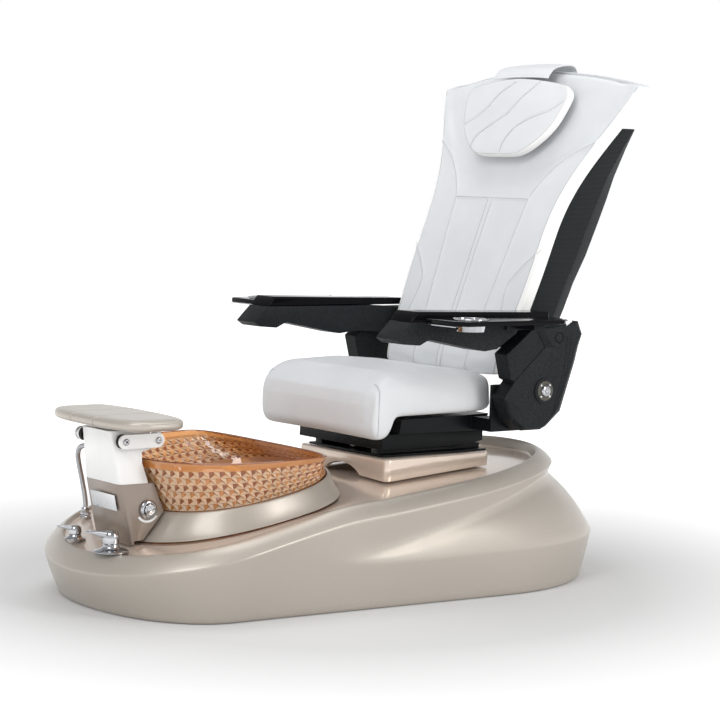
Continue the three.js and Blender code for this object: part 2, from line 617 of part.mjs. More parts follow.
const HOSE_FOOT = [-262, -560];
const hoseFootZ = deckSeat(HOSE_FOOT, 15);
add('hose_fitting', turned([[0, 0], [15, 0], [15, 8], [11, 12], [11, 22], [8.5, 26], [0, 26]], 'z', 14),
  chrome(),
  [...HOSE_FOOT, hoseFootZ]);
const SHOWER = { x: -146, y: -622, z: 366 };
const HOSE_ROUTE = [
  [HOSE_FOOT[0], HOSE_FOOT[1], hoseFootZ + 27], [-262, -560, 206], [-264, -562, 228], [-265, -566, 250],
  [-263, -572, 272], [-258, -580, 293], [-249, -589, 312], [-238, -598, 328], [-224, -606, 342], [-207,
    -613, 353],
  [-188, -618, 361], [-168, -621.5, 365.3], [SHOWER.x - 0.6, SHOWER.y, SHOWER.z],
];
const hoseCurve = new THREE.CatmullRomCurve3(HOSE_ROUTE.map((p) => new THREE.Vector3(...p)), false,
  'centripetal');
add('shower_hose', new THREE.ExtrudeGeometry(shapeOf(Array.from({ length: 8 }, (_, i) => [
  HOSE_RADIUS * Math.cos((i * Math.PI) / 4), HOSE_RADIUS * Math.sin((i * Math.PI) / 4)])), {
  steps: 16, bevelEnabled: false, extrudePath: hoseCurve,
}), steel());
add('hand_shower', turned([[0, 0], [9, 0], [11, 4], [11, 30], [14, 36], [14, 50], [0, 50]], 'x', 16),
  chrome(),
  [SHOWER.x, SHOWER.y, SHOWER.z]);
add('shower_socket', turned([[14.6, 0], [19, 0], [19, 18], [14.6, 18], [14.6, 0]], 'x', 16), chrome(),
  [SHOWER.x + 48, SHOWER.y, SHOWER.z]);

// ---------------------------------------------------------------- seat carriage
function carriageBase() {
  const profile = [[38, 357], [328, 357], [372, 366], [372, 392], [328, 397], [40, 397]];
  const body = alongX(profile, -178, 178);
  return cut(body, box(-170, 170, 46, 364, 350, 390));
}
add('carriage_base', carriageBase(), blackPlastic());
function seatPan() {
  const body = alongX([[64, 401], [71, 437], [359, 441], [330, 398]], -214, 214);
  const tray = cut(body, box(-206, 206, 78, 322, 390, 430));
  const side = HOUSING_INNER - GAP;
  const bracket = join(box(212, side, 300, 350, 403, 436), box(side - 8, side, 300, 436, 403, 524),
    disc(11, side - 222, 'x', 14).translate(222, ...RECLINE_PIVOT));
  return join(tray, bracket, mirrorX(bracket));
}
add('seat_pan', seatPan(), blackPlastic());
add('slide_motor', join(disc(22, 90, 'y').translate(0, 0, 0), disc(8, 250, 'y').translate(0, 0, 0)),
  steel(), [0, 80, 366]);

const SEAT_PROFILE = [
  [-44, 420], [-34, 394], [-12, 386], [8, 394], [16, 418], [24, 447], [326, 450], [346, 462], [355, 500],
  [352, 530], [338, 544], [161, 560], [34, 554], [-14, 544], [-38, 520], [-47, 475],
];
add('seat_cushion', alongX(SEAT_PROFILE, -SEAT_HALF, SEAT_HALF, 16), leather());

const HOUSING_PROFILE = [
  [396, 680], [453, 688], [532, 688], [560, 654], [545, 603], [514, 545], [489, 485], [433, 412], [348,
    407], [307, 425],
  [244, 486], [240, 501], [275, 538], [291, 549], [319, 536], [340, 560], [384, 640],
];
function armBody() {
  const nose = [[-15, 693], [-44, 665], [-56, 652], [-37, 640], [16, 636], [47, 650], [226, 616],
    [266, 621], [330, 660], [352, 691]];
  const link = [[226, 616.5], [266, 621], [300, 622], [440, 612], [500, 618], [507, 655], [480, 684],
    [352, 690.5], [250, 690]];
  return join(alongX(nose, ARM_INNER, ARM_OUTER), alongX(link, ARM_INNER, HOUSING_INNER - 2));
}

for (const [side, sign] of [['left', 1], ['right', -1]]) {
  const s = sign;
  const put = (name, geometry, material, position = [0, 0, 0]) => add(`${side}_${name}`, geometry, material,
    position);
  put('arm_housing', sided(alongX(HOUSING_PROFILE, HOUSING_INNER, HOUSING_OUTER, 9), s), blackPlastic());
  put('pivot_flange', turned([[0, 0], [33, 0], [33, 3], [29, 6], [0, 6]], s > 0 ? 'x' : '-x', 24),
    blackPlastic(),
    [s * (HOUSING_OUTER + GAP), ...RECLINE_PIVOT]);
  put('arm_frame', sided(armBody(), s), blackPlastic());
  put('arm_pad', sided(alongX([[-14, 694], [6, 719], [440, 711], [440, 692.5]], ARM_INNER, ARM_OUTER, 3),
    s), blackGloss());
  put('tray_bracket', sided(join(box(ARM_OUTER + GAP, 424, 318, 355, 672, TRAY.bottom - GAP),
    box(ARM_OUTER + GAP, 352, 290, 355, 668, TRAY.bottom - GAP)), s), blackPlastic());
  const trayOutline = [
    [TRAY.inner, TRAY.front + 18], [TRAY.inner + 14, TRAY.front], [TRAY.outer - 26,
      TRAY.front], [TRAY.outer, TRAY.front + 30],
    [TRAY.outer, TRAY.rear - 34], [TRAY.outer - 20, TRAY.rear - 8], [420, TRAY.rear],
    ...[0, 1, 2, 3, 4].map((i) => {
      const a = Math.PI * (0.55 + (0.45 * i) / 4);
      return [TRAY.pinX + 48 * Math.cos(a), TRAY.pinY + 44 * Math.sin(a)];
    }),
  ];
  const cupAt = [440, 96];
  const board = alongZ(trayOutline, TRAY.bottom, TRAY.bottom + TRAY.thick, 1.5);
  const hole = disc(CUP_RADIUS + 1, 30, 'z', 24).translate(...cupAt, TRAY.bottom - 8);
  put('tray', sided(cut(board, hole), s), blackGloss());
  put('cup_holder', turned([[0, -16], [CUP_RADIUS - 5, -16], [CUP_RADIUS - 3, TRAY.thick + GAP],
    [CUP_RADIUS + 4, TRAY.thick + GAP],
    [CUP_RADIUS + 3, TRAY.thick + 4], [CUP_RADIUS - 5, TRAY.thick + 4], [CUP_RADIUS - 8, -12], [0,
      -12]], 'z', 24), chrome(),
  [s * cupAt[0], cupAt[1], TRAY.bottom]);
}

// ---------------------------------------------------------------- backrest
const FRONT_FACE = [
  [530, 358], [560, 359], [591, 367], [696, 409], [840, 465], [994, 525], [1130, 578], [1250, 622],
  [1330, 652],
];
const HALF_WIDTH = [
  [530, 236], [560, 239], [700, 252], [800, 260], [930, 261], [990, 267], [1060, 285], [1134, 319],
  [1190, 352], [1252, 386], [1330, 419],
];
function along(table, z) {
  for (let i = 1; i < table.length; i += 1) {
    if (z <= table[i][0]) return lerp(table[i - 1][1], table[i][1],
      (z - table[i - 1][0]) / (table[i][0] - table[i - 1][0]));
  }
  return table[table.length - 1][1];
}
const sweep = (z) => lerp(4, 42, smooth(z, 900, 1310));
const BACK_DEPTH = 44;
const CROWN = 44;                // how much higher the middle of the top edge is than its corners

function backSection(z, narrower, frontOffset, depth) {
  const half = along(HALF_WIDTH, z) - narrower;
  const face = along(FRONT_FACE, z);
  const crown = CROWN * smooth(z, 1050, 1296);
  const points = [];
  const corner = 14;
  const place = (x, back) => {
    const k = x / half;
    return new THREE.Vector3(x, face + frontOffset + sweep(z) * k * k + back + crown * 0.3 * (1 - k * k),
      z + crown * (1 - k * k));
  };
  const steps = 8;
  for (let i = 0; i <= steps; i += 1) points.push(place(lerp(-half + corner, half - corner, i / steps), 0));
  points.push(place(half - 4, 4));
  points.push(place(half, corner));
  points.push(place(half, depth - 6));
  for (let i = steps; i >= 0; i -= 1) points.push(place(lerp(-half + corner, half - corner, i / steps),
    depth));
  points.push(place(-half, depth - 6));
  points.push(place(-half, corner));
  points.push(place(-half + 4, 4));
  return points;
}

function backCushion() {
  const rings = [];
  for (const z of [536, 562, 591, 711, 776, 880, 994, 1080, 1151, 1220, 1290]) {
    rings.push(backSection(z, 0, 0, BACK_DEPTH));
  }
  rings.push(backSection(1300, 5, 5, BACK_DEPTH - 10));
  return skin(rings);
}
add('back_cushion', backCushion(), leather());

// The rear shell: a moulded tub behind the cushion, deep at the waist and thin at the shoulders.
const REAR_FACE = [[590, 556], [713, 608], [797, 639], [847, 670], [951, 718], [1012, 735], [1100, 746],
  [1184, 748]];
function rearShell() {
  const tub = (narrower, start, inner, levels) => skin(levels.map((z) => {
    const front = along(FRONT_FACE, z) + BACK_DEPTH + start + sweep(z);
    const back = Math.max(along(REAR_FACE, z) - inner, front + 8);
    const half = along(HALF_WIDTH, z) - narrower;
    return [[half, front], [half, lerp(front, back, 0.63)], [half - 26, back], [-half + 26, back],
      [-half, lerp(front, back, 0.63)], [-half, front]]
      .map(([x, y]) => new THREE.Vector3(x, y, z));
  }));
  const outside = tub(8, 1, 0, [606, 710, 776, 850, 930, 1000, 1060, 1134, 1186]);
  const inside = tub(13, -30, 7, [585, 710, 776, 850, 930, 1000, 1060, 1134, 1160]);
  return cut(outside, inside);
}
add('back_shell', rearShell(), blackPlastic());

// Steel frame of the backrest: two side plates that reach down to the hinge, and cross tubes.
const BACK_LEAN = Math.atan2(525 - 409, 994 - 696);
function backPoint(rise, depth) {
  return [409 + (rise - 0) * Math.sin(BACK_LEAN) + depth * Math.cos(BACK_LEAN),
    696 + rise * Math.cos(BACK_LEAN) - depth * Math.sin(BACK_LEAN)];
}
function backFrame() {
  const plate = [backPoint(300, 62), backPoint(300, 92), backPoint(-60, 108),
    [RECLINE_PIVOT[0] + 22, RECLINE_PIVOT[1] + 4],
    [RECLINE_PIVOT[0] + 12, RECLINE_PIVOT[1] - 20], [RECLINE_PIVOT[0] - 12,
      RECLINE_PIVOT[1] - 20], [RECLINE_PIVOT[0] - 22, RECLINE_PIVOT[1] + 4],
    [425, 575], backPoint(-60, 62)];
  const sides = [1, -1].map((s) => (s > 0 ? alongX(plate, 214, 220) : alongX(plate, -220, -214)));
  const tubes = [0, 290].map((rise) => {
    const [y, z] = backPoint(rise, 80);
    return disc(9, 434, 'x', 12).translate(-217, y, z);
  });
  const [railY, railZ] = backPoint(0, 78);
  const rails = [60, -60].map((x) => box(x - 4, x + 4, -4, 4, 0, 290).rotateX(-BACK_LEAN).translate(0,
    railY, railZ));
  return join(...sides, ...tubes, ...rails);
}
add('back_frame', backFrame(), steel());

function massageCarriage() {
  const [y, z] = backPoint(90, 78);
  const rollers = [30, -30].map((x) => disc(16, 20, 'x', 14).translate(x - 10, -8, 0));
  return join(box(-50, 50, -14, 14, -45, 45), ...rollers).rotateX(-BACK_LEAN).translate(0, y, z);
}
add('massage_carriage', massageCarriage(), greyPlastic());

// Head pillow: a soft trapezoid, wider at the top, that follows the curve of the backrest.
const PILLOW = { centreY: 580, centreZ: 1188, lean: 0.36, half: 207, curve: 14 };
const PILLOW_OUTLINE = [
  [0, 135], [75, 130], [137, 122], [185, 112], [203, 98], [207, 80], [198, 40], [185, 5], [165, -25],
  [140, -50], [110, -72], [80, -84], [40, -87], [0, -87],
];
// x across, v up the face, w out towards the sitter.
function pillowPoint(x, v, w) {
  const k = x / PILLOW.half;
  return new THREE.Vector3(x,
    PILLOW.centreY + PILLOW.curve * k * k + v * Math.sin(PILLOW.lean) - w * Math.cos(PILLOW.lean),
    PILLOW.centreZ + v * Math.cos(PILLOW.lean) + w * Math.sin(PILLOW.lean));
}
function pillow() {
  const left = PILLOW_OUTLINE.slice(1, -1).reverse().map(([x, v]) => [-x, v]);
  const whole = [...PILLOW_OUTLINE, ...left];
  const middle = 24;
  const levels = [[0.5, -13], [0.9, -13], [0.98, -9], [1, -2], [1, 9], [0.97, 15], [0.86, 19], [0.5, 23]];
  return skin(levels.map(([scale, w]) => whole.map(([x, v]) => pillowPoint(x * scale,
    middle + (v - middle) * scale, w))));
}
add('pillow', pillow(), leather());

// The flap that hangs the pillow from the top of the backrest.
function strap() {
  const path = [[618, 1324], [636, 1345], [662, 1355], [696, 1359], [714, 1354], [724, 1340]];
  const outer = path.map(([y, z]) => [y, z + 3]);
  return alongX([...outer, ...path.slice().reverse()], -112, 112);
}
add('pillow_strap', strap(), leather());

export default chair;
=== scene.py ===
"""Looks of a pedicure spa chair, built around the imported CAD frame.

Outlines are written in millimetres and turned into metres when a mesh is made. +Z is up, the feet
point to -Y and the sitter's left is +X.
"""

import math

import bmesh
import bpy
from mathutils import Matrix, Vector
from mathutils.bvhtree import BVHTree


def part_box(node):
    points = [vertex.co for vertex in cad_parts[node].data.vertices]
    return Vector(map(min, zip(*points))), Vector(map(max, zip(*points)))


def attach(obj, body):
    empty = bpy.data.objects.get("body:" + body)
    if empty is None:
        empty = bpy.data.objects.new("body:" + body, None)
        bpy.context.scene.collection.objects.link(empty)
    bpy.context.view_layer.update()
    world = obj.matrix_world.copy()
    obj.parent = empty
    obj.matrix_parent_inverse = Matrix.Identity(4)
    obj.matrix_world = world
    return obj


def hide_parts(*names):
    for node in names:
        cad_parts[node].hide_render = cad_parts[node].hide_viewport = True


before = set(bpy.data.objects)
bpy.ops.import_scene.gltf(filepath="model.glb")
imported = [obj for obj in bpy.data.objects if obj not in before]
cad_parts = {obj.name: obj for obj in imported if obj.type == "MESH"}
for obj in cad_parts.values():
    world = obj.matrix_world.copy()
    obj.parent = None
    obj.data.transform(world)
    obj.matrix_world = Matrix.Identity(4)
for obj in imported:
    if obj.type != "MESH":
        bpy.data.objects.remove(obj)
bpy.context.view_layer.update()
MM = 0.001
scene = bpy.context.scene


# ---------------------------------------------------------------- small maths
def lerp(a, b, t):
    return a + (b - a) * t


def blend(a, b, t):
    """A point between two points."""
    return tuple(lerp(u, v, t) for u, v in zip(a, b))


def smooth(v, start, end):
    t = min(max((v - start) / (end - start), 0.0), 1.0)
    return t * t * (3 - 2 * t)


def power(v, e):
    return math.copysign(abs(v) ** e, v)


def table(rows, v):
    """Value of a [position, value] list at v, joined by straight lines."""
    for (a, fa), (b, fb) in zip(rows, rows[1:]):
        if v <= b:
            return lerp(fa, fb, (v - a) / (b - a))
    return rows[-1][1]


def catmull(points, per_span):
    """A smooth curve through the points."""
    pts = [Vector(p) for p in points]
    ends = [2 * pts[0] - pts[1], *pts, 2 * pts[-1] - pts[-2]]
    curve = []
    for a, b, c, d in zip(ends, ends[1:], ends[2:], ends[3:]):
        for i in range(per_span):
            t = i / per_span
            curve.append(0.5 * (2 * b + (c - a) * t + (2 * a - 5 * b + 4 * c - d) * t * t
                                + (3 * b - a - 3 * c + d) * t ** 3))
    curve.append(pts[-1])
    return curve


def circle(count, radius=1.0, start=0.0):
    """Points [u, v] spaced evenly round a circle."""
    angles = [start + 2 * math.pi * i / count for i in range(count)]
    return [(radius * math.cos(a), radius * math.sin(a)) for a in angles]


def linked(name, data):
    """A new object of the scene that shows this data."""
    ob = bpy.data.objects.new(name, data)
    scene.collection.objects.link(ob)
    return ob


def object_from(name, mesh):
    """A new object from an edited mesh."""
    data = bpy.data.meshes.new(name)
    mesh.to_mesh(data)
    mesh.free()
    return linked(name, data)


def set_inputs(node, **values):
    """Set a node's inputs; an input's name is written with _ for its spaces."""
    for name, value in values.items():
        node.inputs[name.replace("_", " ")].default_value = value


# ---------------------------------------------------------------- camera, lights and floor
def make_camera():
    azimuth, pitch, roll = math.radians(52.5), math.radians(4.9), math.radians(1.55)
    look = Vector((-math.sin(azimuth) * math.cos(pitch), math.cos(azimuth) * math.cos(pitch),
                   -math.sin(pitch)))
    level = Vector((math.cos(azimuth), math.sin(azimuth), 0))
    upright = level.cross(look)
    right = level * math.cos(roll) + upright * math.sin(roll)
    up = upright * math.cos(roll) - level * math.sin(roll)
    data = bpy.data.cameras.new("camera")
    data.sensor_width = 36
    data.lens = 108.5
    data.clip_end = 100
    camera = linked("camera", data)
    camera.matrix_world = Matrix((right, up, -look)).transposed().to_4x4()
    camera.location = (4.4483, -3.3155, 1.050)
    scene.camera = camera


def area_light(name, location, target, size, power_w, tint=(1, 1, 1)):
    data = bpy.data.lights.new(name, "AREA")
    data.shape = "RECTANGLE"
    data.size, data.size_y = size
    data.energy = power_w
    data.color = tint
    lamp = linked(name, data)
    lamp.location = location
    lamp.rotation_euler = (Vector(target) - Vector(location)).to_track_quat("-Z", "Y").to_euler()


def make_studio():
    scene.view_settings.view_transform = "Standard"
    world = bpy.data.worlds.new("studio")
    scene.world = world
    world.use_nodes = True
    tree = world.node_tree
    background = tree.nodes["Background"]
    ramp = tree.nodes.new("ShaderNodeValToRGB")
    split = tree.nodes.new("ShaderNodeSeparateXYZ")
    place = tree.nodes.new("ShaderNodeTexCoord")
    shift = tree.nodes.new("ShaderNodeMath")
    shift.operation = "MULTIPLY_ADD"
    shift.inputs[1].default_value = 0.5
    shift.inputs[2].default_value = 0.5
    tree.links.new(place.outputs["Generated"], split.inputs[0])
    tree.links.new(split.outputs["Z"], shift.inputs[0])
    tree.links.new(shift.outputs[0], ramp.inputs[0])
    tree.links.new(ramp.outputs[0], background.inputs[0])
    steps = ramp.color_ramp
    steps.elements[0].position = 0.0
    steps.elements[0].color = (0.86, 0.86, 0.86, 1)
    steps.elements[1].position = 1.0
    steps.elements[1].color = (0.55, 0.55, 0.56, 1)
    for position, shade in ((0.47, 1.0), (0.60, 1.0), (0.70, 0.55), (0.84, 0.34)):
        element = steps.elements.new(position)
        element.color = (shade, shade, shade * 1.01, 1)
    background.inputs["Strength"].default_value = 1.0
    area_light("key", (1.5, -3.0, 3.3), (0, -0.1, 0.4), (2.2, 1.6), 56)
    area_light("side", (3.4, 1.2, 2.0), (0, 0.1, 0.6), (1.0, 2.0), 50, (1, 0.985, 0.96))
    area_light("top", (-0.4, 0.2, 3.4), (0, 0, 0.3), (2.0, 2.0), 30)


def make_floor():
    mesh = bmesh.new()
    bmesh.ops.create_circle(mesh, cap_ends=True, segments=96, radius=14)
    floor = object_from("floor", mesh)
    floor.location.z = -0.0005
    paint = finish("glowing_floor", (0.62, 0.62, 0.62), 0.7, specular=0.1)
    tree, shader = nodes_of(paint)
    # The floor glows though it is no lamp, faintly near the chair and strongly far off: painted light that
    # whitens the floor towards the horizon.
    place = tree.nodes.new("ShaderNodeTexCoord")
    away = tree.nodes.new("ShaderNodeVectorMath")
    away.operation = "LENGTH"
    glow = tree.nodes.new("ShaderNodeMapRange")
    set_inputs(glow, From_Min=0.8, From_Max=2.4, To_Min=0.10, To_Max=0.9)
    tree.links.new(place.outputs["Object"], away.inputs[0])
    tree.links.new(away.outputs["Value"], glow.inputs["Value"])
    tree.links.new(glow.outputs[0], shader.inputs["Emission Strength"])
    set_inputs(shader, Emission_Color=(1, 1, 1, 1))
    floor.data.materials.append(paint)


# ---------------------------------------------------------------- materials
def nodes_of(material):
    tree = material.node_tree
    return tree, tree.nodes["Principled BSDF"]


def finish(name, colour, roughness, metallic=0.0, specular=0.5, coat=0.0, coat_roughness=0.05):
    """A plain Principled material."""
    material = bpy.data.materials.new(name)
    material.use_nodes = True
    _, shader = nodes_of(material)
    set_inputs(shader, Base_Color=(*colour, 1), Roughness=roughness, Metallic=metallic,
               Specular_IOR_Level=specular, Coat_Weight=coat, Coat_Roughness=coat_roughness)
    material.diffuse_color = (*colour, 1)
    return material


def add_noise(tree, scale, detail=3.0, kind="ShaderNodeTexNoise"):
    place = tree.nodes.get("place") or tree.nodes.new("ShaderNodeTexCoord")
    place.name = "place"
    texture = tree.nodes.new(kind)
    texture.inputs["Scale"].default_value = scale
    if kind == "ShaderNodeTexNoise":
        texture.inputs["Detail"].default_value = detail
    tree.links.new(place.outputs["Object"], texture.inputs["Vector"])
    return texture


def vary_colour(material, dark, light, scale, low=0.35, high=0.65, detail=3.0):
    """The base colour drifts between two shades."""
    tree, shader = nodes_of(material)
    texture = add_noise(tree, scale, detail)
    ramp = tree.nodes.new("ShaderNodeValToRGB")
    ramp.color_ramp.elements[0].position = low
    ramp.color_ramp.elements[0].color = (*dark, 1)
    ramp.color_ramp.elements[1].position = high
    ramp.color_ramp.elements[1].color = (*light, 1)
    tree.links.new(texture.outputs[0], ramp.inputs[0])
    tree.links.new(ramp.outputs[0], shader.inputs["Base Color"])
    return material


def vary_roughness(material, low, high, scale, detail=4.0):
    tree, shader = nodes_of(material)
    texture = add_noise(tree, scale, detail)
    spread = tree.nodes.new("ShaderNodeMapRange")
    set_inputs(spread, From_Min=0.3, From_Max=0.7, To_Min=low, To_Max=high)
    tree.links.new(texture.outputs[0], spread.inputs["Value"])
    tree.links.new(spread.outputs[0], shader.inputs["Roughness"])
    return material


def add_bump(material, scale, height_mm, kind="ShaderNodeTexNoise", detail=4.0):
    """Fine relief. Calls stack: each one rides on the bump before it."""
    tree, shader = nodes_of(material)
    texture = add_noise(tree, scale, detail, kind)
    bump = tree.nodes.new("ShaderNodeBump")
    set_inputs(bump, Strength=1.0, Distance=height_mm * MM)
    tree.links.new(texture.outputs[0], bump.inputs["Height"])
    earlier = shader.inputs["Normal"].links
    if earlier:
        tree.links.new(earlier[0].from_socket, bump.inputs["Normal"])
    tree.links.new(bump.outputs[0], shader.inputs["Normal"])
    return material


def champagne_paint():
    """Pearlescent gel coat: a metallic base under a soft clear layer."""
    material = finish("champagne_gel_coat", (0.48, 0.437, 0.382), 0.4, 0.4, 0.5, coat=0.35,
                      coat_roughness=0.16)
    vary_colour(material, (0.455, 0.414, 0.361), (0.505, 0.461, 0.406), 900, 0.4, 0.6, 2)
    vary_roughness(material, 0.36, 0.44, 14)
    return add_bump(material, 700, 0.02)


def rose_paint():
    """The glossy deck inside the rim, a little rosier than the walls."""
    material = finish("rose_gel_coat", (0.80, 0.68, 0.58), 0.2, 0.4, 0.5, coat=0.6, coat_roughness=0.06)
    vary_colour(material, (0.77, 0.65, 0.55), (0.83, 0.705, 0.605), 900, 0.4, 0.6, 2)
    vary_roughness(material, 0.17, 0.24, 14)
    return material


def leather_of(name, dark, light, roughness=0.42):
    material = finish(name, light, roughness, 0, 0.35)
    vary_colour(material, dark, light, 9, 0.3, 0.7)
    vary_roughness(material, roughness - 0.04, roughness + 0.08, 60)
    add_bump(material, 620, 0.10, "ShaderNodeTexVoronoi")
    return add_bump(material, 24, 0.9, detail=2.0)


def textured_black():
    """Moulded black plastic with a coarse spark texture: its bump and roughness catch light in specks, and
    lighter specks painted into the base colour add painted highlights.
    """
    colour = (0.011, 0.013, 0.0145)
    material = finish("textured_black", colour, 0.5, 0, 0.13)
    # Lighter specks in the base colour: painted highlights.
    vary_colour(material, tuple(c * 0.55 for c in colour), tuple(c * 2.1 for c in colour), 480, 0.42, 0.68, 2)
    vary_roughness(material, 0.38, 0.62, 300)
    add_bump(material, 520, 0.35, detail=2.0)
    return material


def dark_fabric():
    """The ribbed black side of the backrest shell."""
    material = finish("ribbed_black", (0.012, 0.014, 0.015), 0.62, 0, 0.15)
    tree, shader = nodes_of(material)
    place = tree.nodes.new("ShaderNodeTexCoord")
    wave = tree.nodes.new("ShaderNodeTexWave")
    wave.bands_direction = "Z"
    set_inputs(wave, Scale=95, Distortion=0.6)
    bump = tree.nodes.new("ShaderNodeBump")
    set_inputs(bump, Distance=0.6 * MM)
    tree.links.new(place.outputs["Object"], wave.inputs["Vector"])
    tree.links.new(wave.outputs[0], bump.inputs["Height"])
    tree.links.new(bump.outputs[0], shader.inputs["Normal"])
    # The colour follows the ribs' wave: darker in the grooves as painted shade, lighter on the ridges as
    # painted highlight.
    ramp = tree.nodes.new("ShaderNodeValToRGB")
    ramp.color_ramp.elements[0].color = (0.006, 0.0075, 0.008, 1)
    ramp.color_ramp.elements[1].color = (0.021, 0.025, 0.027, 1)
    tree.links.new(wave.outputs[0], ramp.inputs[0])
    tree.links.new(ramp.outputs[0], shader.inputs["Base Color"])
    return material


def glass_of(name, colour, clearness=0.9, roughness=0.03, coat=0.0):
    """Cast glass: part of the light goes through, the rest shows the colour of the batch."""
    material = finish(name, colour, roughness, 0, 0.6, coat=coat, coat_roughness=0.02)
    _, shader = nodes_of(material)
    set_inputs(shader, Transmission_Weight=clearness, IOR=1.6)
    vary_roughness(material, roughness, roughness + 0.03, 40)
    return material


def worn(name, colour, low, high, scale, roughness, metallic=0.0, specular=0.5, coat=0.0):
    """A plain finish whose roughness drifts from low to high."""
    return vary_roughness(finish(name, colour, roughness, metallic, specular, coat), low, high, scale)


MATERIALS = {}


def make_materials():
    white = worn("white_gloss", (0.86, 0.86, 0.85), 0.17, 0.25, 30, 0.2, coat=0.4)
    satin = worn("satin_black", (0.006, 0.007, 0.008), 0.28, 0.42, 50, 0.4, specular=0.12)
    grey = worn("grey_plastic", (0.13, 0.135, 0.14), 0.42, 0.6, 60, 0.5, specular=0.4)
    MATERIALS.update(
        champagne=champagne_paint(),
        rose=rose_paint(),
        taupe=worn("taupe_gel_coat", (0.29, 0.237, 0.198), 0.3, 0.4, 14, 0.34, 0.35, coat=0.3),
        chrome=worn("chrome", (0.47, 0.48, 0.5), 0.04, 0.1, 25, 0.05, metallic=1),
        steel=worn("zinc_steel", (0.5, 0.51, 0.53), 0.3, 0.48, 60, 0.38, metallic=1),
        brushed=worn("brushed_plate", (0.72, 0.73, 0.74), 0.2, 0.36, 90, 0.28, metallic=1),
        white=add_bump(white, 35, 0.05),
        satin=add_bump(satin, 500, 0.06),
        grey=add_bump(grey, 420, 0.12),
        gloss=worn("piano_black", (0.004, 0.004, 0.005), 0.05, 0.1, 30, 0.09, specular=0.08),
        olive=worn("olive_black", (0.055, 0.05, 0.038), 0.3, 0.42, 80, 0.36),
        black=textured_black(),
        ribbed=dark_fabric(),
        # Black rubber for the link spacers; the same black is painted shade in the drain holes and the bolt
        # sockets.
        rubber=add_bump(finish("rubber", (0.012, 0.012, 0.013), 0.75, 0, 0.3), 300, 0.12),
        thread=add_bump(finish("thread", (0.36, 0.37, 0.38), 0.7, 0, 0.2), 3000, 0.1),
        leather=leather_of("white_leather", (0.635, 0.653, 0.672), (0.675, 0.69, 0.706)),
        band=leather_of("warm_leather", (0.84, 0.842, 0.825), (0.87, 0.87, 0.852)),
        amber=glass_of("amber_glass", (0.94, 0.46, 0.16), 0.55, coat=0.8),
        # amber_pale and amber_deep are lit and shaded copies of the amber glass: painted highlight and
        # painted shade for the bowl's facets.
        amber_pale=glass_of("amber_pale", (1.0, 0.73, 0.44), 0.5, coat=1.0),
        amber_deep=glass_of("amber_deep", (0.44, 0.13, 0.03), 0.5, coat=0.8),
        # A much darker glass for the plain rim band: painted shade for the dark line that refraction gives
        # the rim.
        amber_rim=glass_of("amber_rim", (0.26, 0.075, 0.02), 0.3, coat=0.15),
        clear=glass_of("clear_acrylic", (0.93, 0.95, 0.96), 0.9, 0.12))


# ---------------------------------------------------------------- meshes
def object_of(name, points, faces, material):
    data = bpy.data.meshes.new(name)
    data.from_pydata([Vector(p) * MM for p in points], [], faces)
    data.validate()
    ob = linked(name, data)
    for m in material if isinstance(material, (list, tuple)) else [material]:
        data.materials.append(MATERIALS[m])
    outward(ob)
    shade(ob)
    return ob


def outward(ob, weld=False):
    """Faces point out; welded, points in one place become one."""
    mesh = bmesh.new()
    mesh.from_mesh(ob.data)
    if weld:
        bmesh.ops.remove_doubles(mesh, verts=mesh.verts, dist=1e-6)
    bmesh.ops.recalc_face_normals(mesh, faces=mesh.faces)
    mesh.to_mesh(ob.data)
    mesh.free()


def shade(ob, angle=None):
    """Smooth shading; with an angle, edges sharper than it stay sharp."""
    for p in ob.data.polygons:
        p.use_smooth = True
    if angle is not None:
        ob.data.set_sharp_from_angle(angle=math.radians(angle))


def bake(ob):
    """Apply every modifier."""
    graph = bpy.context.evaluated_depsgraph_get()
    graph.update()
    mesh = bpy.data.meshes.new_from_object(ob.evaluated_get(graph))
    old = ob.data
    ob.modifiers.clear()
    ob.data = mesh
    bpy.data.meshes.remove(old)
    return ob


def subdivide(ob, levels):
    modifier = ob.modifiers.new("subdivision", "SUBSURF")
    modifier.levels = modifier.render_levels = levels
    return bake(ob)


def bevel(ob, width_mm, segments=3, angle=30):
    modifier = ob.modifiers.new("bevel", "BEVEL")
    modifier.width = width_mm * MM
    modifier.segments = segments
    modifier.limit_method = "ANGLE"
    modifier.angle_limit = math.radians(angle)
    modifier.harden_normals = True
    modifier.use_clamp_overlap = True
    return bake(ob)


def quads(faces, low, high, count):
    """Quads between two closed rings of count points that start at low and high."""
    for i in range(count):
        n = (i + 1) % count
        faces.append((low + i, low + n, high + n, high + i))


def set_creases(ob, columns, rings, crease):
    """Weights for the edges that run along a ring: crease(ring, column)."""
    weights = ob.data.attributes.new("crease_edge", "FLOAT", "EDGE")
    for edge in ob.data.edges:
        i, j = edge.vertices
        if i // columns == j // columns and max(i, j) < rings * columns:
            weights.data[edge.index].value = crease(i // columns, i % columns)


def skin(name, rings, material, loop=False, crease=None, caps=True):
    """A surface through rings of equal length. crease(ring, column) gives a ring edge's weight."""
    count = len(rings[0])
    points = [p for ring in rings for p in ring]
    faces = []
    spans = len(rings) if loop else len(rings) - 1
    for r in range(spans):
        quads(faces, r * count, ((r + 1) % len(rings)) * count, count)
    if caps and not loop:
        for start in (0, (len(rings) - 1) * count):
            ring = points[start:start + count]
            points.append(sum((Vector(p) for p in ring), Vector()) / count)
            hub = len(points) - 1
            faces.extend((hub, start + i, start + (i + 1) % count) for i in range(count))
    ob = object_of(name, points, faces, material)
    if crease:
        set_creases(ob, count, len(rings), crease)
    return ob


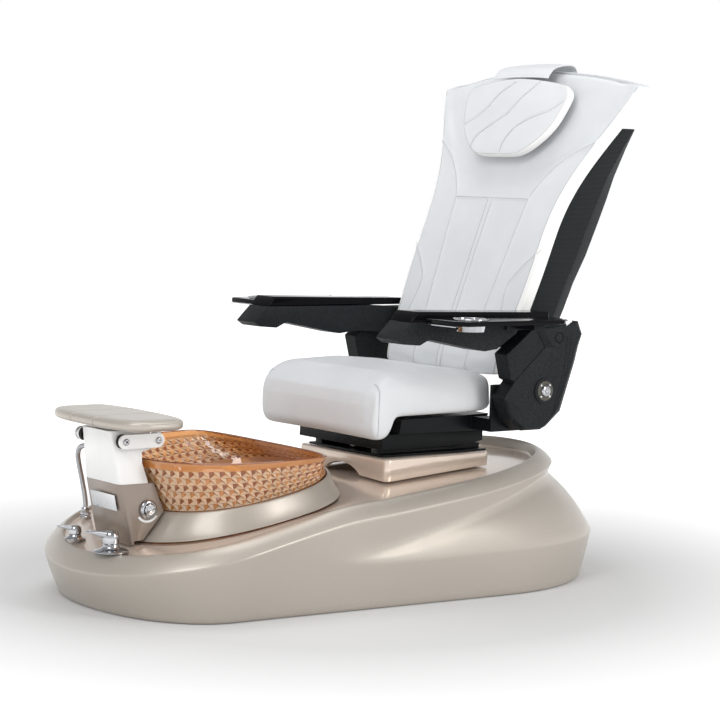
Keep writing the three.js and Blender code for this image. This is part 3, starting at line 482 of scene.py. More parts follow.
def extrusion(name, outline, x0, x1, material):
    """An outline of [y, z] points from x0 to x1."""
    n = len(outline)
    points = [(x, y, z) for x in (x0, x1) for y, z in outline]
    faces = [tuple(range(n)), tuple(range(2 * n - 1, n - 1, -1))]
    quads(faces, 0, n, n)
    return object_of(name, points, faces, material)


def box_of(name, at, size, material):
    """A small block: its middle and its three sizes in millimetres."""
    x, y, z = size[0] / 2, size[1] / 2, size[2] / 2
    low = [(at[0] + a, at[1] + b, at[2] - z) for a, b in ((-x, -y), (x, -y), (x, y), (-x, y))]
    high = [(p[0], p[1], at[2] + z) for p in low]
    ob = skin(name, [low, high], material)
    return bevel(ob, min(size) * 0.25, 2)


def turned(name, profile, material, at, axis="z", segments=64, closed=False):
    """A turned piece: [radius, height] points along an axis that starts at the point at, in millimetres."""
    turn = Matrix.Rotation({"z": 0, "x": math.pi / 2, "-x": -math.pi / 2}[axis], 4, "Y")
    points, faces = [], []
    for r, h in profile:
        points += [turn @ Vector((u, v, h)) + Vector(at) for u, v in circle(segments, r)]
    rows = len(profile) if closed else len(profile) - 1
    for k in range(rows):
        quads(faces, k * segments, ((k + 1) % len(profile)) * segments, segments)
    ob = object_of(name, points, faces, material)
    outward(ob, weld=True)
    shade(ob, 40)
    return ob


def tube(name, path, radius, material, sides=12, ripple=0.0, pitch=1.0):
    """A tube along a path, in millimetres. ripple is the height of its rings, pitch their spacing."""
    points, faces, run = [], [], 0.0
    up = Vector((0, 0, 1)) if abs((path[1] - path[0]).normalized().z) < 0.9 else Vector((1, 0, 0))
    for i, p in enumerate(path):
        ahead = (path[min(i + 1, len(path) - 1)] - path[max(i - 1, 0)]).normalized()
        up = (up - ahead * up.dot(ahead)).normalized()
        side = ahead.cross(up)
        run += (p - path[i - 1]).length if i else 0.0
        r = radius - ripple * (0.5 - 0.5 * math.cos(2 * math.pi * run / pitch))
        points += [p + u * up + v * side for u, v in circle(sides, r)]
    for i in range(len(path) - 1):
        quads(faces, i * sides, (i + 1) * sides, sides)
    last = (len(path) - 1) * sides
    faces += [tuple(range(sides))[::-1], tuple(range(last, last + sides))]
    return object_of(name, points, faces, material)


def cad_copy(node, name, material):
    """A welded copy of a CAD node, its coplanar triangles merged into polygons, which stands for it."""
    mesh = bmesh.new()
    mesh.from_mesh(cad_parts[node].data)
    bmesh.ops.remove_doubles(mesh, verts=mesh.verts, dist=2e-5)
    bmesh.ops.dissolve_limit(mesh, angle_limit=math.radians(1), verts=mesh.verts, edges=mesh.edges)
    ob = object_from(name, mesh)
    ob.data.materials.clear()
    ob.data.materials.append(MATERIALS[material])
    shade(ob)
    return ob


def join(name, *obs):
    """One object out of several, keeping each one's materials."""
    mesh = bmesh.new()
    slots = []
    for ob in obs:
        start = len(mesh.faces)
        mesh.from_mesh(ob.data)
        mesh.faces.ensure_lookup_table()
        index = []
        for m in ob.data.materials:
            if m not in slots:
                slots.append(m)
            index.append(slots.index(m))
        for f in list(mesh.faces)[start:]:
            f.material_index = index[min(f.material_index, len(index) - 1)]
    for ob in obs:
        bpy.data.objects.remove(ob)
    made = object_from(name, mesh)
    for m in slots:
        made.data.materials.append(m)
    return made


def put(ob, body, slot=None, *nodes):
    """The piece rides on a body and stands for these CAD nodes; the slot is not used."""
    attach(ob, body)
    if nodes:
        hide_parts(*nodes)
    return ob


def mirrored(ob, name):
    data = ob.data.copy()
    data.transform(Matrix.Scale(-1, 4, (1, 0, 0)))
    data.flip_normals()
    return linked(name, data)


# ---------------------------------------------------------------- plan outlines of the base
PLAN_KEYS = ("half", "nose_at", "nose_len", "nose_exp", "tail_half", "tail_at", "tail_len", "tail_exp")
FLOOR_PLAN = dict(zip(PLAN_KEYS, (334, -490, 216, 2.12, 399, 318, 433, 2.14)))
RIM_PLAN = dict(zip(PLAN_KEYS, (372, -465, 294, 1.95, 376, 98, 573, 2.18)))
BULGE_PLAN = dict(zip(PLAN_KEYS, (350, -500, 240, 2.2, 404, 319, 441, 2.43)))
VALLEY_PLAN = dict(zip(PLAN_KEYS, (362, -465, 284, 1.95, 366, 98, 562, 2.18)))
NOSE_STEPS, SIDE_STEPS, TAIL_STEPS = 22, 14, 22
COLLAR_BOTTOM = dict(cy=-266, a=277, front=345, rear=207, exp=2.37)
COLLAR_TOP = dict(cy=-310, a=248, front=242, rear=240, exp=2.35)
BOWL_RIM = dict(cy=-255, a=303, front=344, rear=66, exp=2.75, rear_exp=3.6)
BOWL_NECK = dict(cy=-310, a=239, front=233, rear=231, exp=2.35)
BOWL_FLOOR = dict(cy=-310, a=190, front=180, rear=175, exp=2.3)
BOWL_RIM_Z, BOWL_FLOOR_Z = 366, 188


def both_sides(half):
    """A half outline from nose to tail, closed by its mirror image."""
    half[0], half[-1] = (0, half[0][1]), (0, half[-1][1])
    return half + [(-x, y) for x, y in half[-2:0:-1]]


def outline(plan):
    """Nose, left side, tail, and then the mirror image."""
    half = []
    for i in range(NOSE_STEPS + 1):
        t = math.pi / 2 * (1 - i / NOSE_STEPS)
        half.append((plan["half"] * max(math.cos(t), 0) ** (2 / plan["nose_exp"]),
                     plan["nose_at"] - plan["nose_len"] * math.sin(t) ** (2 / plan["nose_exp"])))
    for i in range(1, SIDE_STEPS):
        k = i / SIDE_STEPS
        half.append((lerp(plan["half"], plan["tail_half"], k), lerp(plan["nose_at"], plan["tail_at"], k)))
    for i in range(TAIL_STEPS + 1):
        t = math.pi / 2 * i / TAIL_STEPS
        half.append((plan["tail_half"] * max(math.cos(t), 0) ** (2 / plan["tail_exp"]),
                     plan["tail_at"] + plan["tail_len"] * math.sin(t) ** (2 / plan["tail_exp"])))
    return both_sides(half)


def inset(points, distance):
    made = []
    n = len(points)
    for i, (x, y) in enumerate(points):
        (ax, ay), (bx, by) = points[i - 1], points[(i + 1) % n]
        length = math.hypot(bx - ax, by - ay)
        made.append((x - distance * (by - ay) / length, y + distance * (bx - ax) / length))
    return made


def mixed(a, b, k):
    return [(lerp(p[0], q[0], k), lerp(p[1], q[1], k)) for p, q in zip(a, b)]


def raised(points, height):
    return [(x, y, height(x, y)) for x, y in points]


def oval(shape, steps=None, shrink=0.0):
    """A closed superellipse in plan with its own front and rear lengths."""
    steps = steps or NOSE_STEPS + SIDE_STEPS + TAIL_STEPS
    half = []
    for i in range(steps + 1):
        t = -math.pi / 2 + math.pi * i / steps
        front = math.sin(t) < 0
        reach = (shape["front"] if front else shape["rear"]) - shrink
        e = shape["exp"] if front else shape.get("rear_exp", shape["exp"])
        half.append(((shape["a"] - shrink) * max(math.cos(t), 0) ** (2 / e),
                     shape["cy"] + power(math.sin(t), 2 / e) * reach))
    return both_sides(half)


def rim_height(y):
    u = (y + 800) / 1000
    return lerp(88.7 + 244 * u - 42.7 * u * u, 237.6 + 0.1074 * y, smooth(y, -300, -50))


def bulge_height(y):
    return 115 + 0.015 * y


def valley_height(y):
    return min(160 + 0.2286 * y, 258 + 0.02 * y)


def deck_drop(y):
    return lerp(20, 3, smooth(y, -350, 250))


def collar_foot(y):
    return 204 + 0.204 * (y + 400)


def collar_top(y):
    return 258 + 0.1845 * (y + 400)


# ---------------------------------------------------------------- base shell, collar, bowl
def make_base_shell():
    floor_line, rim_line = outline(FLOOR_PLAN), outline(RIM_PLAN)
    bulge_line, valley_line = outline(BULGE_PLAN), outline(VALLEY_PLAN)

    def hull(share, tail_points, tail_height):
        """A ring this share of the way up at the nose, on the tail's own line and height at the tail."""
        ring = []
        for (fx, fy), (rx, ry), (tx, ty) in zip(floor_line, rim_line, tail_points):
            reach = lerp(share, 1 - (1 - share) ** 1.3, 1 - smooth(ry, -720, -330))
            tail = smooth(ry, -330, -60)
            ring.append((lerp(lerp(fx, rx, reach), tx, tail), lerp(lerp(fy, ry, reach), ty, tail)))
        return raised(ring, lambda x, y: lerp(share * rim_height(y), tail_height(y), smooth(y, -330, -60)))

    def above(extra):
        return lambda x, y: rim_height(y) + extra

    def falling(k):
        return lambda x, y: rim_height(y) + lerp(32, deck_drop(y), k)

    def between(k):
        return lambda y: lerp(bulge_height(y), valley_height(y), k)

    def climbing(k):
        return lambda y: lerp(valley_height(y), rim_height(y), k)

    hole = dict(COLLAR_BOTTOM)
    for reach in ("a", "front", "rear"):
        hole[reach] -= 12
    deck_edge = raised(inset(rim_line, 52), lambda x, y: rim_height(y) + deck_drop(y))
    deck_hole = raised(oval(hole), lambda x, y: collar_foot(y) - 3)
    rings = [
        raised(inset(floor_line, 9), lambda x, y: 0.5),
        raised(inset(floor_line, 3), lambda x, y: 1.5),
        hull(0.05, floor_line, lambda y: 9),
        hull(0.17, mixed(floor_line, bulge_line, 0.25), lambda y: 34),
        hull(0.3, mixed(floor_line, bulge_line, 0.5), lambda y: 62),
        hull(0.42, mixed(floor_line, bulge_line, 0.9), lambda y: bulge_height(y) - 14),
        hull(0.5, bulge_line, bulge_height),
        hull(0.56, mixed(bulge_line, valley_line, 0.2), between(0.3)),
        hull(0.64, mixed(bulge_line, valley_line, 0.55), between(0.7)),
        hull(0.74, valley_line, valley_height),
        hull(0.87, mixed(valley_line, rim_line, 0.4), climbing(0.5)),
        hull(0.95, mixed(valley_line, rim_line, 0.8), climbing(0.85)),
        raised(rim_line, above(0)),
        raised(inset(rim_line, 3), above(4)),
        raised(inset(rim_line, 11), above(13)),
        raised(inset(rim_line, 24), above(24)),
        raised(inset(rim_line, 36), above(30)),
        raised(inset(rim_line, 43), above(32)),
        raised(inset(rim_line, 47), falling(0.45)),
        raised(inset(rim_line, 50), falling(0.9)),
        deck_edge,
        [blend(a, b, 0.06) for a, b in zip(deck_edge, deck_hole)],
        [blend(a, b, 0.5) for a, b in zip(deck_edge, deck_hole)],
        deck_hole,
        [(x, y, z - 9) for x, y, z in deck_hole],
    ]
    foot_ring, bulge_ring, valley_ring, rim_ring, crest_ring, deck_ring = 2, 6, 9, 12, 17, 19
    steady = {foot_ring: 0.6, rim_ring: 0.9, crest_ring: 0.45, len(rings) - 2: 0.6}

    def crease(ring, column):
        y = rings[ring][column][1]
        if ring == bulge_ring:
            return smooth(y, -330, 60)
        if ring == valley_ring:
            return 0.6 * smooth(y, -200, 200)
        return steady.get(ring, 0.0)

    shell = skin("hull", rings, ["champagne", "rose"], crease=crease, caps=False)
    for p in shell.data.polygons:
        if min(p.vertices) >= deck_ring * len(rings[0]):
            p.material_index = 1
    solidify = shell.modifiers.new("wall", "SOLIDIFY")
    solidify.thickness = 7 * MM
    solidify.offset = -1
    bake(shell)
    subdivide(shell, 1)
    shade(shell)
    put(shell, "base", "champagne_shell", "base_shell")


def make_collar():
    def ring(k, height_share, shrink=0.0, lift=0.0):
        line = mixed(oval(COLLAR_BOTTOM, shrink=shrink), oval(COLLAR_TOP, shrink=shrink), k)
        return raised(line, lambda x, y: lerp(collar_foot(y), collar_top(y), height_share) + lift)

    rings = [ring(0, 0, 9, 0.5), ring(0, 0, 0.5, 0.5), ring(0.02, 0.02), ring(0.14, 0.09), ring(0.3, 0.22),
             ring(0.55, 0.46), ring(0.8, 0.75), ring(0.97, 0.95), ring(1, 1, 1.0, -0.5), ring(1, 1, 3.5, 0),
             ring(1, 1, 6.5, -1.5), ring(0.97, 0.95, 7), ring(0.55, 0.46, 7), ring(0.3, 0.2, 7)]
    collar = skin("collar", rings, "champagne", loop=True, crease=lambda r, c: 0.7 if r in (0, 1) else 0.0)
    subdivide(collar, 1)
    put(collar, "base", "champagne_shell", "bowl_collar")


def make_bowl():
    """Pressed glass: rows of triangular hollows between ridges, outside and in, under a plain rim."""
    wall, fine = 8, 80
    columns, rows = 66, 6
    plain_from, rim_starts = 0.84, 0.985
    press_out, press_in = 5.2, -1.1

    def rim_z(y):
        return BOWL_RIM_Z + 0.028 * (y + 400)

    def wall_line(k, shrink):
        return mixed(oval(BOWL_NECK, fine, shrink), oval(BOWL_RIM, fine, shrink), k)

    def even(line, k, phase):
        """The closed line again, with even spacing and a shifted start."""
        length = [0.0]
        for p, q in zip(line, line[1:] + line[:1]):
            length.append(length[-1] + math.dist(p, q))
        made = []
        for c in range(columns):
            s = ((c + phase) % columns) / columns * length[-1]
            i = max(j for j in range(len(line)) if length[j] <= s)
            t = (s - length[i]) / (length[i + 1] - length[i])
            q = line[(i + 1) % len(line)]
            made.append((lerp(line[i][0], q[0], t), lerp(line[i][1], q[1], t)))
        return raised(made, lambda x, y: lerp(collar_top(y) + 2, rim_z(y), k))

    lattice = []
    for r in range(rows + 1):
        k = lerp(-0.02, plain_from, r / rows)
        lattice.append(even(wall_line(k, 0.3), k, 0.5 * (r % 2)))
    points = [p for ring in lattice for p in ring]
    faces = []
    painted_light_tones = {}

    def push(tri, depth, tones):
        """One triangle becomes three facets round a pressed middle, each given one of three tones of the
        glass by the way it faces: plain, painted highlight and painted shade.
        """
        a, b, c = (Vector(points[i]) for i in tri)
        middle = (a + b + c) / 3
        outwards = (b - a).cross(c - a).normalized()
        if outwards.dot(middle - Vector((0, BOWL_RIM["cy"], middle.z))) < 0:
            outwards.negate()
        points.append(tuple(middle - outwards * depth))
        apex = len(points) - 1
        for tone, i, j in zip(tones, tri, tri[1:] + tri[:1]):
            painted_light_tones[len(faces)] = tone
            faces.append((i, j, apex))

    def press(start, depth):
        """A whole lattice of rows, beginning at the point with number start."""
        for r in range(rows):
            low, high = start + r * columns, start + (r + 1) * columns
            for c in range(columns):
                n = (c + 1) % columns
                # Tone 2 is the painted highlight copy of the glass, 3 the painted shade copy, 0 the plain
                # amber.
                if r % 2 == 0:
                    push((low + c, low + n, high + c), depth, (2, 3, 0))
                    push((low + n, high + n, high + c), depth, (0, 3, 2))
                else:
                    push((low + c, low + n, high + n), depth, (2, 0, 3))
                    push((low + c, high + n, high + c), depth, (3, 0, 2))

    def add_ring(ring, last):
        """One more ring of points, and the wall between it and the last one."""
        points.extend(ring)
        start = len(points) - columns
        quads(faces, last, start, columns)
        return start

    press(0, press_out)
    last = rows * columns
    lip = ((plain_from, 0.4, 0), (0.93, 0, 0), (rim_starts, 0, 0), (1.0, 1.0, 0), (1.0, 3.0, 1.2),
           (1.0, 6.0, 0.8), (1.0, wall, -1), (0.88, wall, 0))
    for k, shrink, lift in lip:
        last = add_ring([(x, y, z + lift) for x, y, z in even(wall_line(k, shrink), k, 0)], last)
        if k == rim_starts:
            rim_from = last
        if lift == -1:
            rim_to = last + columns
    inner = len(points)
    for r in range(rows + 1):
        k = lerp(0.8, 0.0, r / rows)
        points.extend(even(wall_line(k, wall), k, 0.5 * (r % 2)))
    quads(faces, last, inner, columns)
    last = inner + rows * columns
    press(inner, press_in)
    centre = oval(dict(cy=BOWL_FLOOR["cy"], a=27.5, front=27.5, rear=27.5, exp=2), fine)
    inside = [(oval(BOWL_FLOOR, fine, wall + shrink), BOWL_FLOOR_Z + lift)
              for shrink, lift in ((0, 22), (6, 8), (30 - wall, 1), (60 - wall, 0))]
    under = [(oval(BOWL_FLOOR, fine, shrink), BOWL_FLOOR_Z + lift)
             for shrink, lift in ((60, -wall), (14, 2 - wall), (0, 6))]
    for line, z in inside + [(centre, BOWL_FLOOR_Z), (centre, BOWL_FLOOR_Z - wall)] + under:
        last = add_ring([(x, y, z) for x, y, _ in even(line, 0, 0)], last)
    quads(faces, last, 0, columns)
    bowl = object_of("glass_bowl", points, faces, ["amber", "amber_rim", "amber_pale", "amber_deep"])
    # Facets take the plain amber glass and its painted highlight and painted shade copies as their tones say.
    for face in bowl.data.polygons:
        # The plain rim band takes the dark rim glass: painted shade.
        if all(rim_from <= i < rim_to for i in face.vertices):
            face.material_index = 1
        else:
            face.material_index = painted_light_tones.get(face.index, 0)
    bevel(bowl, 0.6, 1, 16)
    shade(bowl, 12)
    put(bowl, "base", "amber_glass", "bowl")


# ---------------------------------------------------------------- simple dressed copies of CAD nodes
def dressed(node, name, material, body, slot, width=1.2, segments=2, angle=30):
    """The CAD node itself with eased edges and a finish."""
    ob = cad_copy(node, name, material)
    bevel(ob, width, segments, angle)
    return put(ob, body, slot, node)


# ---------------------------------------------------------------- seat platform, slide and column
def make_base_pieces():
    dressed("seat_platform", "platform", "rose", "base", "champagne_shell", 3.5, 3, 25)
    dressed("slide_base", "slide_rails", "satin", "base", "black_plastic", 1.0)
    dressed("base_pan", "pan", "grey", "base", "grey_plastic", 1.0)
    dressed("chassis_frame", "chassis", "steel", "base", "steel", 1.5)
    dressed("power_box", "supply", "grey", "base", "grey_plastic", 3.0, 3)
    dressed("drain_pump", "pump", "satin", "base", "black_plastic", 1.5)
    dressed("jet_motor", "jet_drive", "satin", "base", "black_plastic", 1.5)
    dressed("jet_cover", "jet_grille", "white", "base", "white_plastic", 0.8)
    dressed("jet_impeller", "impeller_blades", "white", "impeller", "white_plastic", 0.6)
    dressed("column_lower", "lower_column", "taupe", "base", "champagne_shell", 2.5, 3, 30)
    dressed("column_upper", "upper_column", "white", "base", "white_plastic", 2.5, 3, 30)
    dressed("name_plate", "blank_plate", "brushed", "base", "chrome", 0.5)


def make_drain():
    """A strainer in the bowl's floor whose rings of holes are thin black discs laid on top: painted shade for
    the dark inside of the holes.
    """
    at = (0, BOWL_FLOOR["cy"], BOWL_FLOOR_Z)
    parts = [turned("strainer_rim", [(0, -4), (26, -4), (26, 0.4), (35, 0.4), (33.5, 3.6), (31, 4.6),
                                     (26, 4.6), (25, 3.2), (0, 3.2)], "chrome", at)]
    for radius, count in ((8, 6), (16, 12), (22, 16)):
        for u, v in circle(count, radius):
            spot = (at[0] + u, at[1] + v, at[2] + 3.3)
            # Each hole is a thin black disc: painted shade.
            parts.append(turned("hole", [(0, 0), (1.7, 0), (1.4, 0.3), (0, 0.3)], "rubber", spot,
                                segments=12))
    put(join("drain_grid", *parts), "base", "chrome", "drain_strainer")


def socket_bolt(name, at, axis, radius=8.0):
    """A round-headed bolt with a hexagonal socket, drawn as a round recess over a black hexagon: painted
    shade in the socket.
    """
    head = turned(name, [(0, 1.2), (3.1, 1.2), (3.1, 4.7), (4.2, 5), (radius - 2.2, 4.6),
                         (radius - 0.6, 3.2), (radius, 1.4), (radius, 0), (0, 0)], "chrome", at, axis, 48)
    socket_shade = turned(name + "_well", [(0, 1.3), (3.0, 1.3)], "rubber", at, axis, 6)
    return [head, socket_shade]


def make_footrest_links():
    y0, y1, z = -665, -575, 407
    profile = []
    for start, centre in ((90, y0), (-90, y1)):
        profile += [(centre + 17.5 * math.cos(math.radians(start + 180 * i / 18)),
                     z + 17.5 * math.sin(math.radians(start + 180 * i / 18))) for i in range(19)]
    left = extrusion("left_link", profile, 93, 100, "white")
    bevel(left, 1.4, 3)
    right = mirrored(left, "right_link")
    put(left, "footrest_links", "white_plastic", "left_link_plate")
    put(right, "footrest_links", "white_plastic", "right_link_plate")
    ring = [(7, 0), (16, 0), (17, 1), (17, 11), (16, 12), (7, 12)]
    for side, x, axis in (("left", 92.6, "-x"), ("right", -92.6, "x")):
        spacer = turned(f"{side}_spacer", ring, "rubber", (x, y0, z), axis, closed=True)
        put(spacer, "base", "rubber", f"{side}_link_spacer")
    rod = turned("rod", [(0, 0), (5, 0), (5, 181), (0, 181)], "chrome", (-80, y0, z), "x", 32)
    put(join("cross_shaft", rod, *socket_bolt("front_bolt", (100.4, y0, z), "x")), "footrest_links",
        "chrome", "link_shaft")
    knob = turned("lock_knob", [(0, 0), (16, 0), (17, 1.5), (17, 8), (15.8, 11), (14.5, 12), (14.5, 15),
                                (12.5, 18.5), (8.5, 21.8), (4.5, 23.4), (0, 24)], "chrome", (-100.4, y0, z),
                  "-x")
    put(knob, "footrest_links", "chrome", "link_lock_knob")
    bracket = cad_copy("pad_bracket", "bracket", "steel")
    bevel(bracket, 0.6, 2)
    bolts = socket_bolt("rear_bolt", (100.6, y1, z), "x", 8.2)
    bolts += socket_bolt("far_bolt", (-100.6, y1, z), "-x", 8.2)
    put(join("pad_mount", bracket, *bolts), "footrest_pad", "steel", "pad_bracket")


PAD = dict(half_x=204, centre_y=-628, half_y=102, top=467, thick=29, seam=51)


def make_footrest_pad():
    """Three moulded segments of one rounded slab, each with eased edges at its joints."""
    around, columns = 48, 26

    def section(x, shrink=0.0):
        k = min(abs(x) / PAD["half_x"], 0.9999)
        half = PAD["half_y"] * (1 - k ** 3) ** (1 / 3) - shrink
        swell = min(1.0, math.sqrt(max(1 - k ** 12, 0)) + 0.05) * (PAD["thick"] / 2) - shrink
        middle = PAD["top"] - PAD["thick"] / 2
        return [(x, PAD["centre_y"] + half * power(u, 0.35), middle + swell * power(v, 0.7))
                for u, v in circle(around, start=math.pi / around)]

    def segment(name, x0, x1, node):
        ends = [(0.0, 4.0), (0.6, 1.6), (1.8, 0.5), (4.0, 0.0)]
        sign = math.copysign(1, x1 - x0)
        rings = [section(x0 + sign * step, shrink) for step, shrink in ends]
        outer_end = abs(x1) > 100
        x_from = x0 + sign * 6
        x_to = math.copysign(PAD["half_x"] - 0.4, x1) if outer_end else x1 - sign * 6
        for i in range(columns + 1):
            t = i / columns
            rings.append(section(lerp(x_from, x_to, math.sin(t * math.pi / 2) if outer_end else t)))
        if not outer_end:
            rings += [section(x1 - sign * step, shrink) for step, shrink in reversed(ends)]
        put(skin(name, rings, "champagne"), "footrest_pad", "champagne_shell", node)

    segment("pad_middle", -PAD["seam"] + 1, PAD["seam"] - 1, "footrest_center")
    segment("pad_left", PAD["seam"] + 1, PAD["half_x"], "footrest_left_end")
    segment("pad_right", -PAD["seam"] - 1, -PAD["half_x"], "footrest_right_end")


# ---------------------------------------------------------------- button, taps and hand shower
def foot_of(node):
    """The middle of a node's lowest plane, in millimetres."""
    low, high = (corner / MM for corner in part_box(node))
    return ((low.x + high.x) / 2, (low.y + high.y) / 2, low.z)


def make_button():
    at = (90, -594, 241)
    bezel = [(11, 0), (22, 0), (23, 0.8), (23, 3), (21.5, 5.6), (19, 6.8), (16.4, 7), (15.5, 6.2),
             (15.5, 1.5), (11, 1.5)]
    put(turned("push_bezel", bezel, "chrome", at, "x", closed=True), "base", "chrome", "button_bezel")
    cap = [(0, 0), (14.5, 0), (14.5, 3.2), (13.8, 4.6), (12.4, 5.4), (9.5, 4.9), (6, 5.2), (0, 6.4)]
    put(turned("push_cap", cap, "chrome", (96.2, at[1], at[2]), "x"), "flush_button", "chrome",
        "flush_button")
    points, faces = [], []
    steps, side = 20, 87.1
    for i in range(steps + 1):
        a = math.radians(lerp(-146, -34, i / steps))
        for r, x in ((26.5, 0.4), (27, 1.2), (32.4, 1.2), (33, 0.4)):
            points.append((side + x, at[1] + r * math.cos(a), at[2] + r * math.sin(a)))
    for i in range(steps):
        quads(faces, 4 * i, 4 * i + 4, 4)
    faces += [(3, 2, 1, 0), (4 * steps, 4 * steps + 1, 4 * steps + 2, 4 * steps + 3)]
    put(object_of("blank_label", points, faces, "white"), "base", "white_plastic")


def lever(name, at, radius, height, reach, turn, node, body):
    """A domed tap body with a broad wedge that narrows towards its tip."""
    dome = [(0, 0), (radius * 0.94, 0), (radius, 1), (radius, height * 0.42), (radius * 0.97, height * 0.6),
            (radius * 0.84, height * 0.84), (radius * 0.55, height * 0.97), (0, height)]
    hub = turned(name + "_hub", dome, "chrome", at)
    rings = []
    for i in range(13):
        t = i / 12
        width = radius * lerp(0.85, 0.36, t) * math.sqrt(max(1 - smooth(t, 0.84, 1.0) * 0.8, 0.05))
        low = height * lerp(0.34, 0.74, smooth(t, 0, 1))
        high = height * lerp(0.93, 0.9, t)
        centre_z, thick = (low + high) / 2, (high - low) / 2
        rings.append([Vector((width * power(u, 0.5), -t * reach, centre_z + thick * power(v, 0.5)))
                      for u, v in circle(20)])
    spin = Matrix.Rotation(turn, 3, "Z")
    blade = skin(name + "_blade", [[tuple(spin @ p + Vector(at)) for p in ring] for ring in rings], "chrome")
    put(join(name, hub, blade), body, "chrome", node)


def make_taps():
    centre = foot_of("mixer_escutcheon")
    rose = [(0, 0), (41, 0), (42, 0.8), (42, 2), (40, 3.6), (34, 6), (26, 8), (21, 10.5), (19.4, 14),
            (19, 18.8), (18.2, 19.8), (0, 19.8)]
    put(turned("tap_rose", rose, "chrome", centre), "base", "chrome", "mixer_escutcheon")
    lever("tap_lever", (*centre[:2], foot_of("mixer_lever")[2]), 20, 31, 62, -0.65, "mixer_lever", "mixer")
    centre = foot_of("diverter_base")
    rose = [(0, 0), (25.2, 0), (26, 0.8), (26, 2), (24, 3.6), (19, 5.4), (16, 7.6), (15, 11.2), (14.2, 12),
            (0, 12)]
    put(turned("valve_rose", rose, "chrome", centre), "base", "chrome", "diverter_base")
    lever("valve_lever", (*centre[:2], foot_of("diverter_lever")[2]), 16, 22, 44, -0.6, "diverter_lever",
          "diverter")


SHOWER_AT = (-146, -622, 366)


def hose_route():
    fitting_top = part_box("hose_fitting")[1].z / MM
    return [(-262, -560, fitting_top + 1), (-262, -560, 206), (-264, -562, 228), (-265, -566, 250),
            (-263, -572, 272), (-258, -580, 293), (-249, -589, 312), (-238, -598, 328), (-224, -606, 342),
            (-207, -613, 353), (-188, -618, 361), (-168, -621.5, 365.3), (-146.6, -622, 366)]


def make_hose():
    """Interlocked metal hose from the deck fitting to the hand shower, held at both ends."""
    path = catmull(hose_route(), 12)
    even = [path[0]]
    for p in path[1:]:
        while (p - even[-1]).length > 0.55:
            even.append(even[-1] + (p - even[-1]).normalized() * 0.5)
    hose = tube("metal_hose", even, 6.5, "steel", 20, ripple=0.9, pitch=3.0)
    put(hose, "base", "metal_hose", "shower_hose")


def make_shower():
    centre = foot_of("hose_fitting")
    parts = [turned("fitting", [(0, 0), (14.2, 0), (15, 0.8), (15, 2.6), (13.6, 4), (11.4, 5.2), (11.4, 13),
                                (10.4, 14), (10.4, 16), (11, 17), (11, 21), (9.6, 24), (8.6, 25.9),
                                (0, 25.9)], "chrome", centre)]
    parts.append(turned("nut", [(0, 6), (12.6, 6), (13.2, 6.8), (13.2, 11.6), (12.6, 12.4), (0, 12.4)],
                        "chrome", centre, segments=6))
    put(join("hose_elbow", *parts), "base", "chrome", "hose_fitting")
    grip = [(0, 0), (8, 0), (9, 1), (9.6, 3), (11, 5), (11, 8), (10.4, 9), (10.4, 11), (11, 12), (11, 28),
            (12, 31), (14, 35), (14, 48.6), (13, 50), (0, 50)]
    put(turned("shower_head", grip, "chrome", SHOWER_AT, "x"), "hand_shower", "chrome", "hand_shower")
    cup = [(14.6, 0), (18, 0), (19, 1), (19, 16.6), (18, 18), (14.6, 18)]
    put(turned("shower_cup", cup, "chrome", (SHOWER_AT[0] + 48, SHOWER_AT[1], SHOWER_AT[2]), "x",
               closed=True), "base", "chrome", "shower_socket")


# ---------------------------------------------------------------- cushions
def inflate(ob, pins, pressure=4.0, cap_mm=14.0):
    """Blow the cover up with the cloth solver; the sewn points in pins stay where they are."""
    frames = 20
    rest = [v.co.copy() for v in ob.data.vertices]
    group = ob.vertex_groups.new(name="sewn")
    group.add(list(pins), 1.0, "REPLACE")
    cloth = ob.modifiers.new("cloth", "CLOTH")
    settings = cloth.settings
    settings.use_pressure = True
    settings.uniform_pressure_force = pressure
    settings.vertex_group_mass = "sewn"
    settings.tension_stiffness = settings.compression_stiffness = 20
    settings.shear_stiffness = 8
    settings.bending_stiffness = 4
    settings.effector_weights.gravity = 0
    cloth.point_cache.frame_start, cloth.point_cache.frame_end = 1, frames
    for step in range(1, frames + 1):
        scene.frame_set(step)
    bake(ob)
    scene.frame_set(1)
    ob.vertex_groups.clear()
    for v, start in zip(ob.data.vertices, rest):
        move = v.co - start
        if move.length > cap_mm * MM:
            v.co = start + move.normalized() * cap_mm * MM
    relax(ob, 2)
    return ob


def relax(ob, rounds):
    modifier = ob.modifiers.new("relax", "SMOOTH")
    modifier.iterations = rounds
    modifier.factor = 0.4
    return bake(ob)


def distance_to(polyline, u, v):
    """Distance in the plane from a point to a line of [u, v] points, and how far along it is."""
    best, run, at = 1e9, 0.0, 0.0
    for (ax, ay), (bx, by) in zip(polyline, polyline[1:]):
        dx, dy = bx - ax, by - ay
        length = math.hypot(dx, dy)
        t = min(max(((u - ax) * dx + (v - ay) * dy) / (length * length), 0), 1)
        gap = math.hypot(u - ax - t * dx, v - ay - t * dy)
        if gap < best:
            best, at = gap, run + t * length
        run += length
    return best, at


def stitched(name, ob, lines, towards, body, slot, thread=0.55):
    """Sewn lines laid on a cushion: each point is dropped onto the surface along towards."""
    surface = BVHTree.FromObject(ob, bpy.context.evaluated_depsgraph_get())
    pieces = []
    way = Vector(towards).normalized()
    for n, line in enumerate(lines):
        laid = []
        for p in line:
            hit, normal, _, _ = surface.ray_cast(Vector(p) * MM - way * 0.2, way)
            if hit is not None:
                laid.append(hit / MM + normal * 0.1)
        if len(laid) > 3:
            pieces.append(tube(f"{name}_{n}", laid, thread, "thread", 6))
    if pieces:
        put(join(name, *pieces), body, slot)


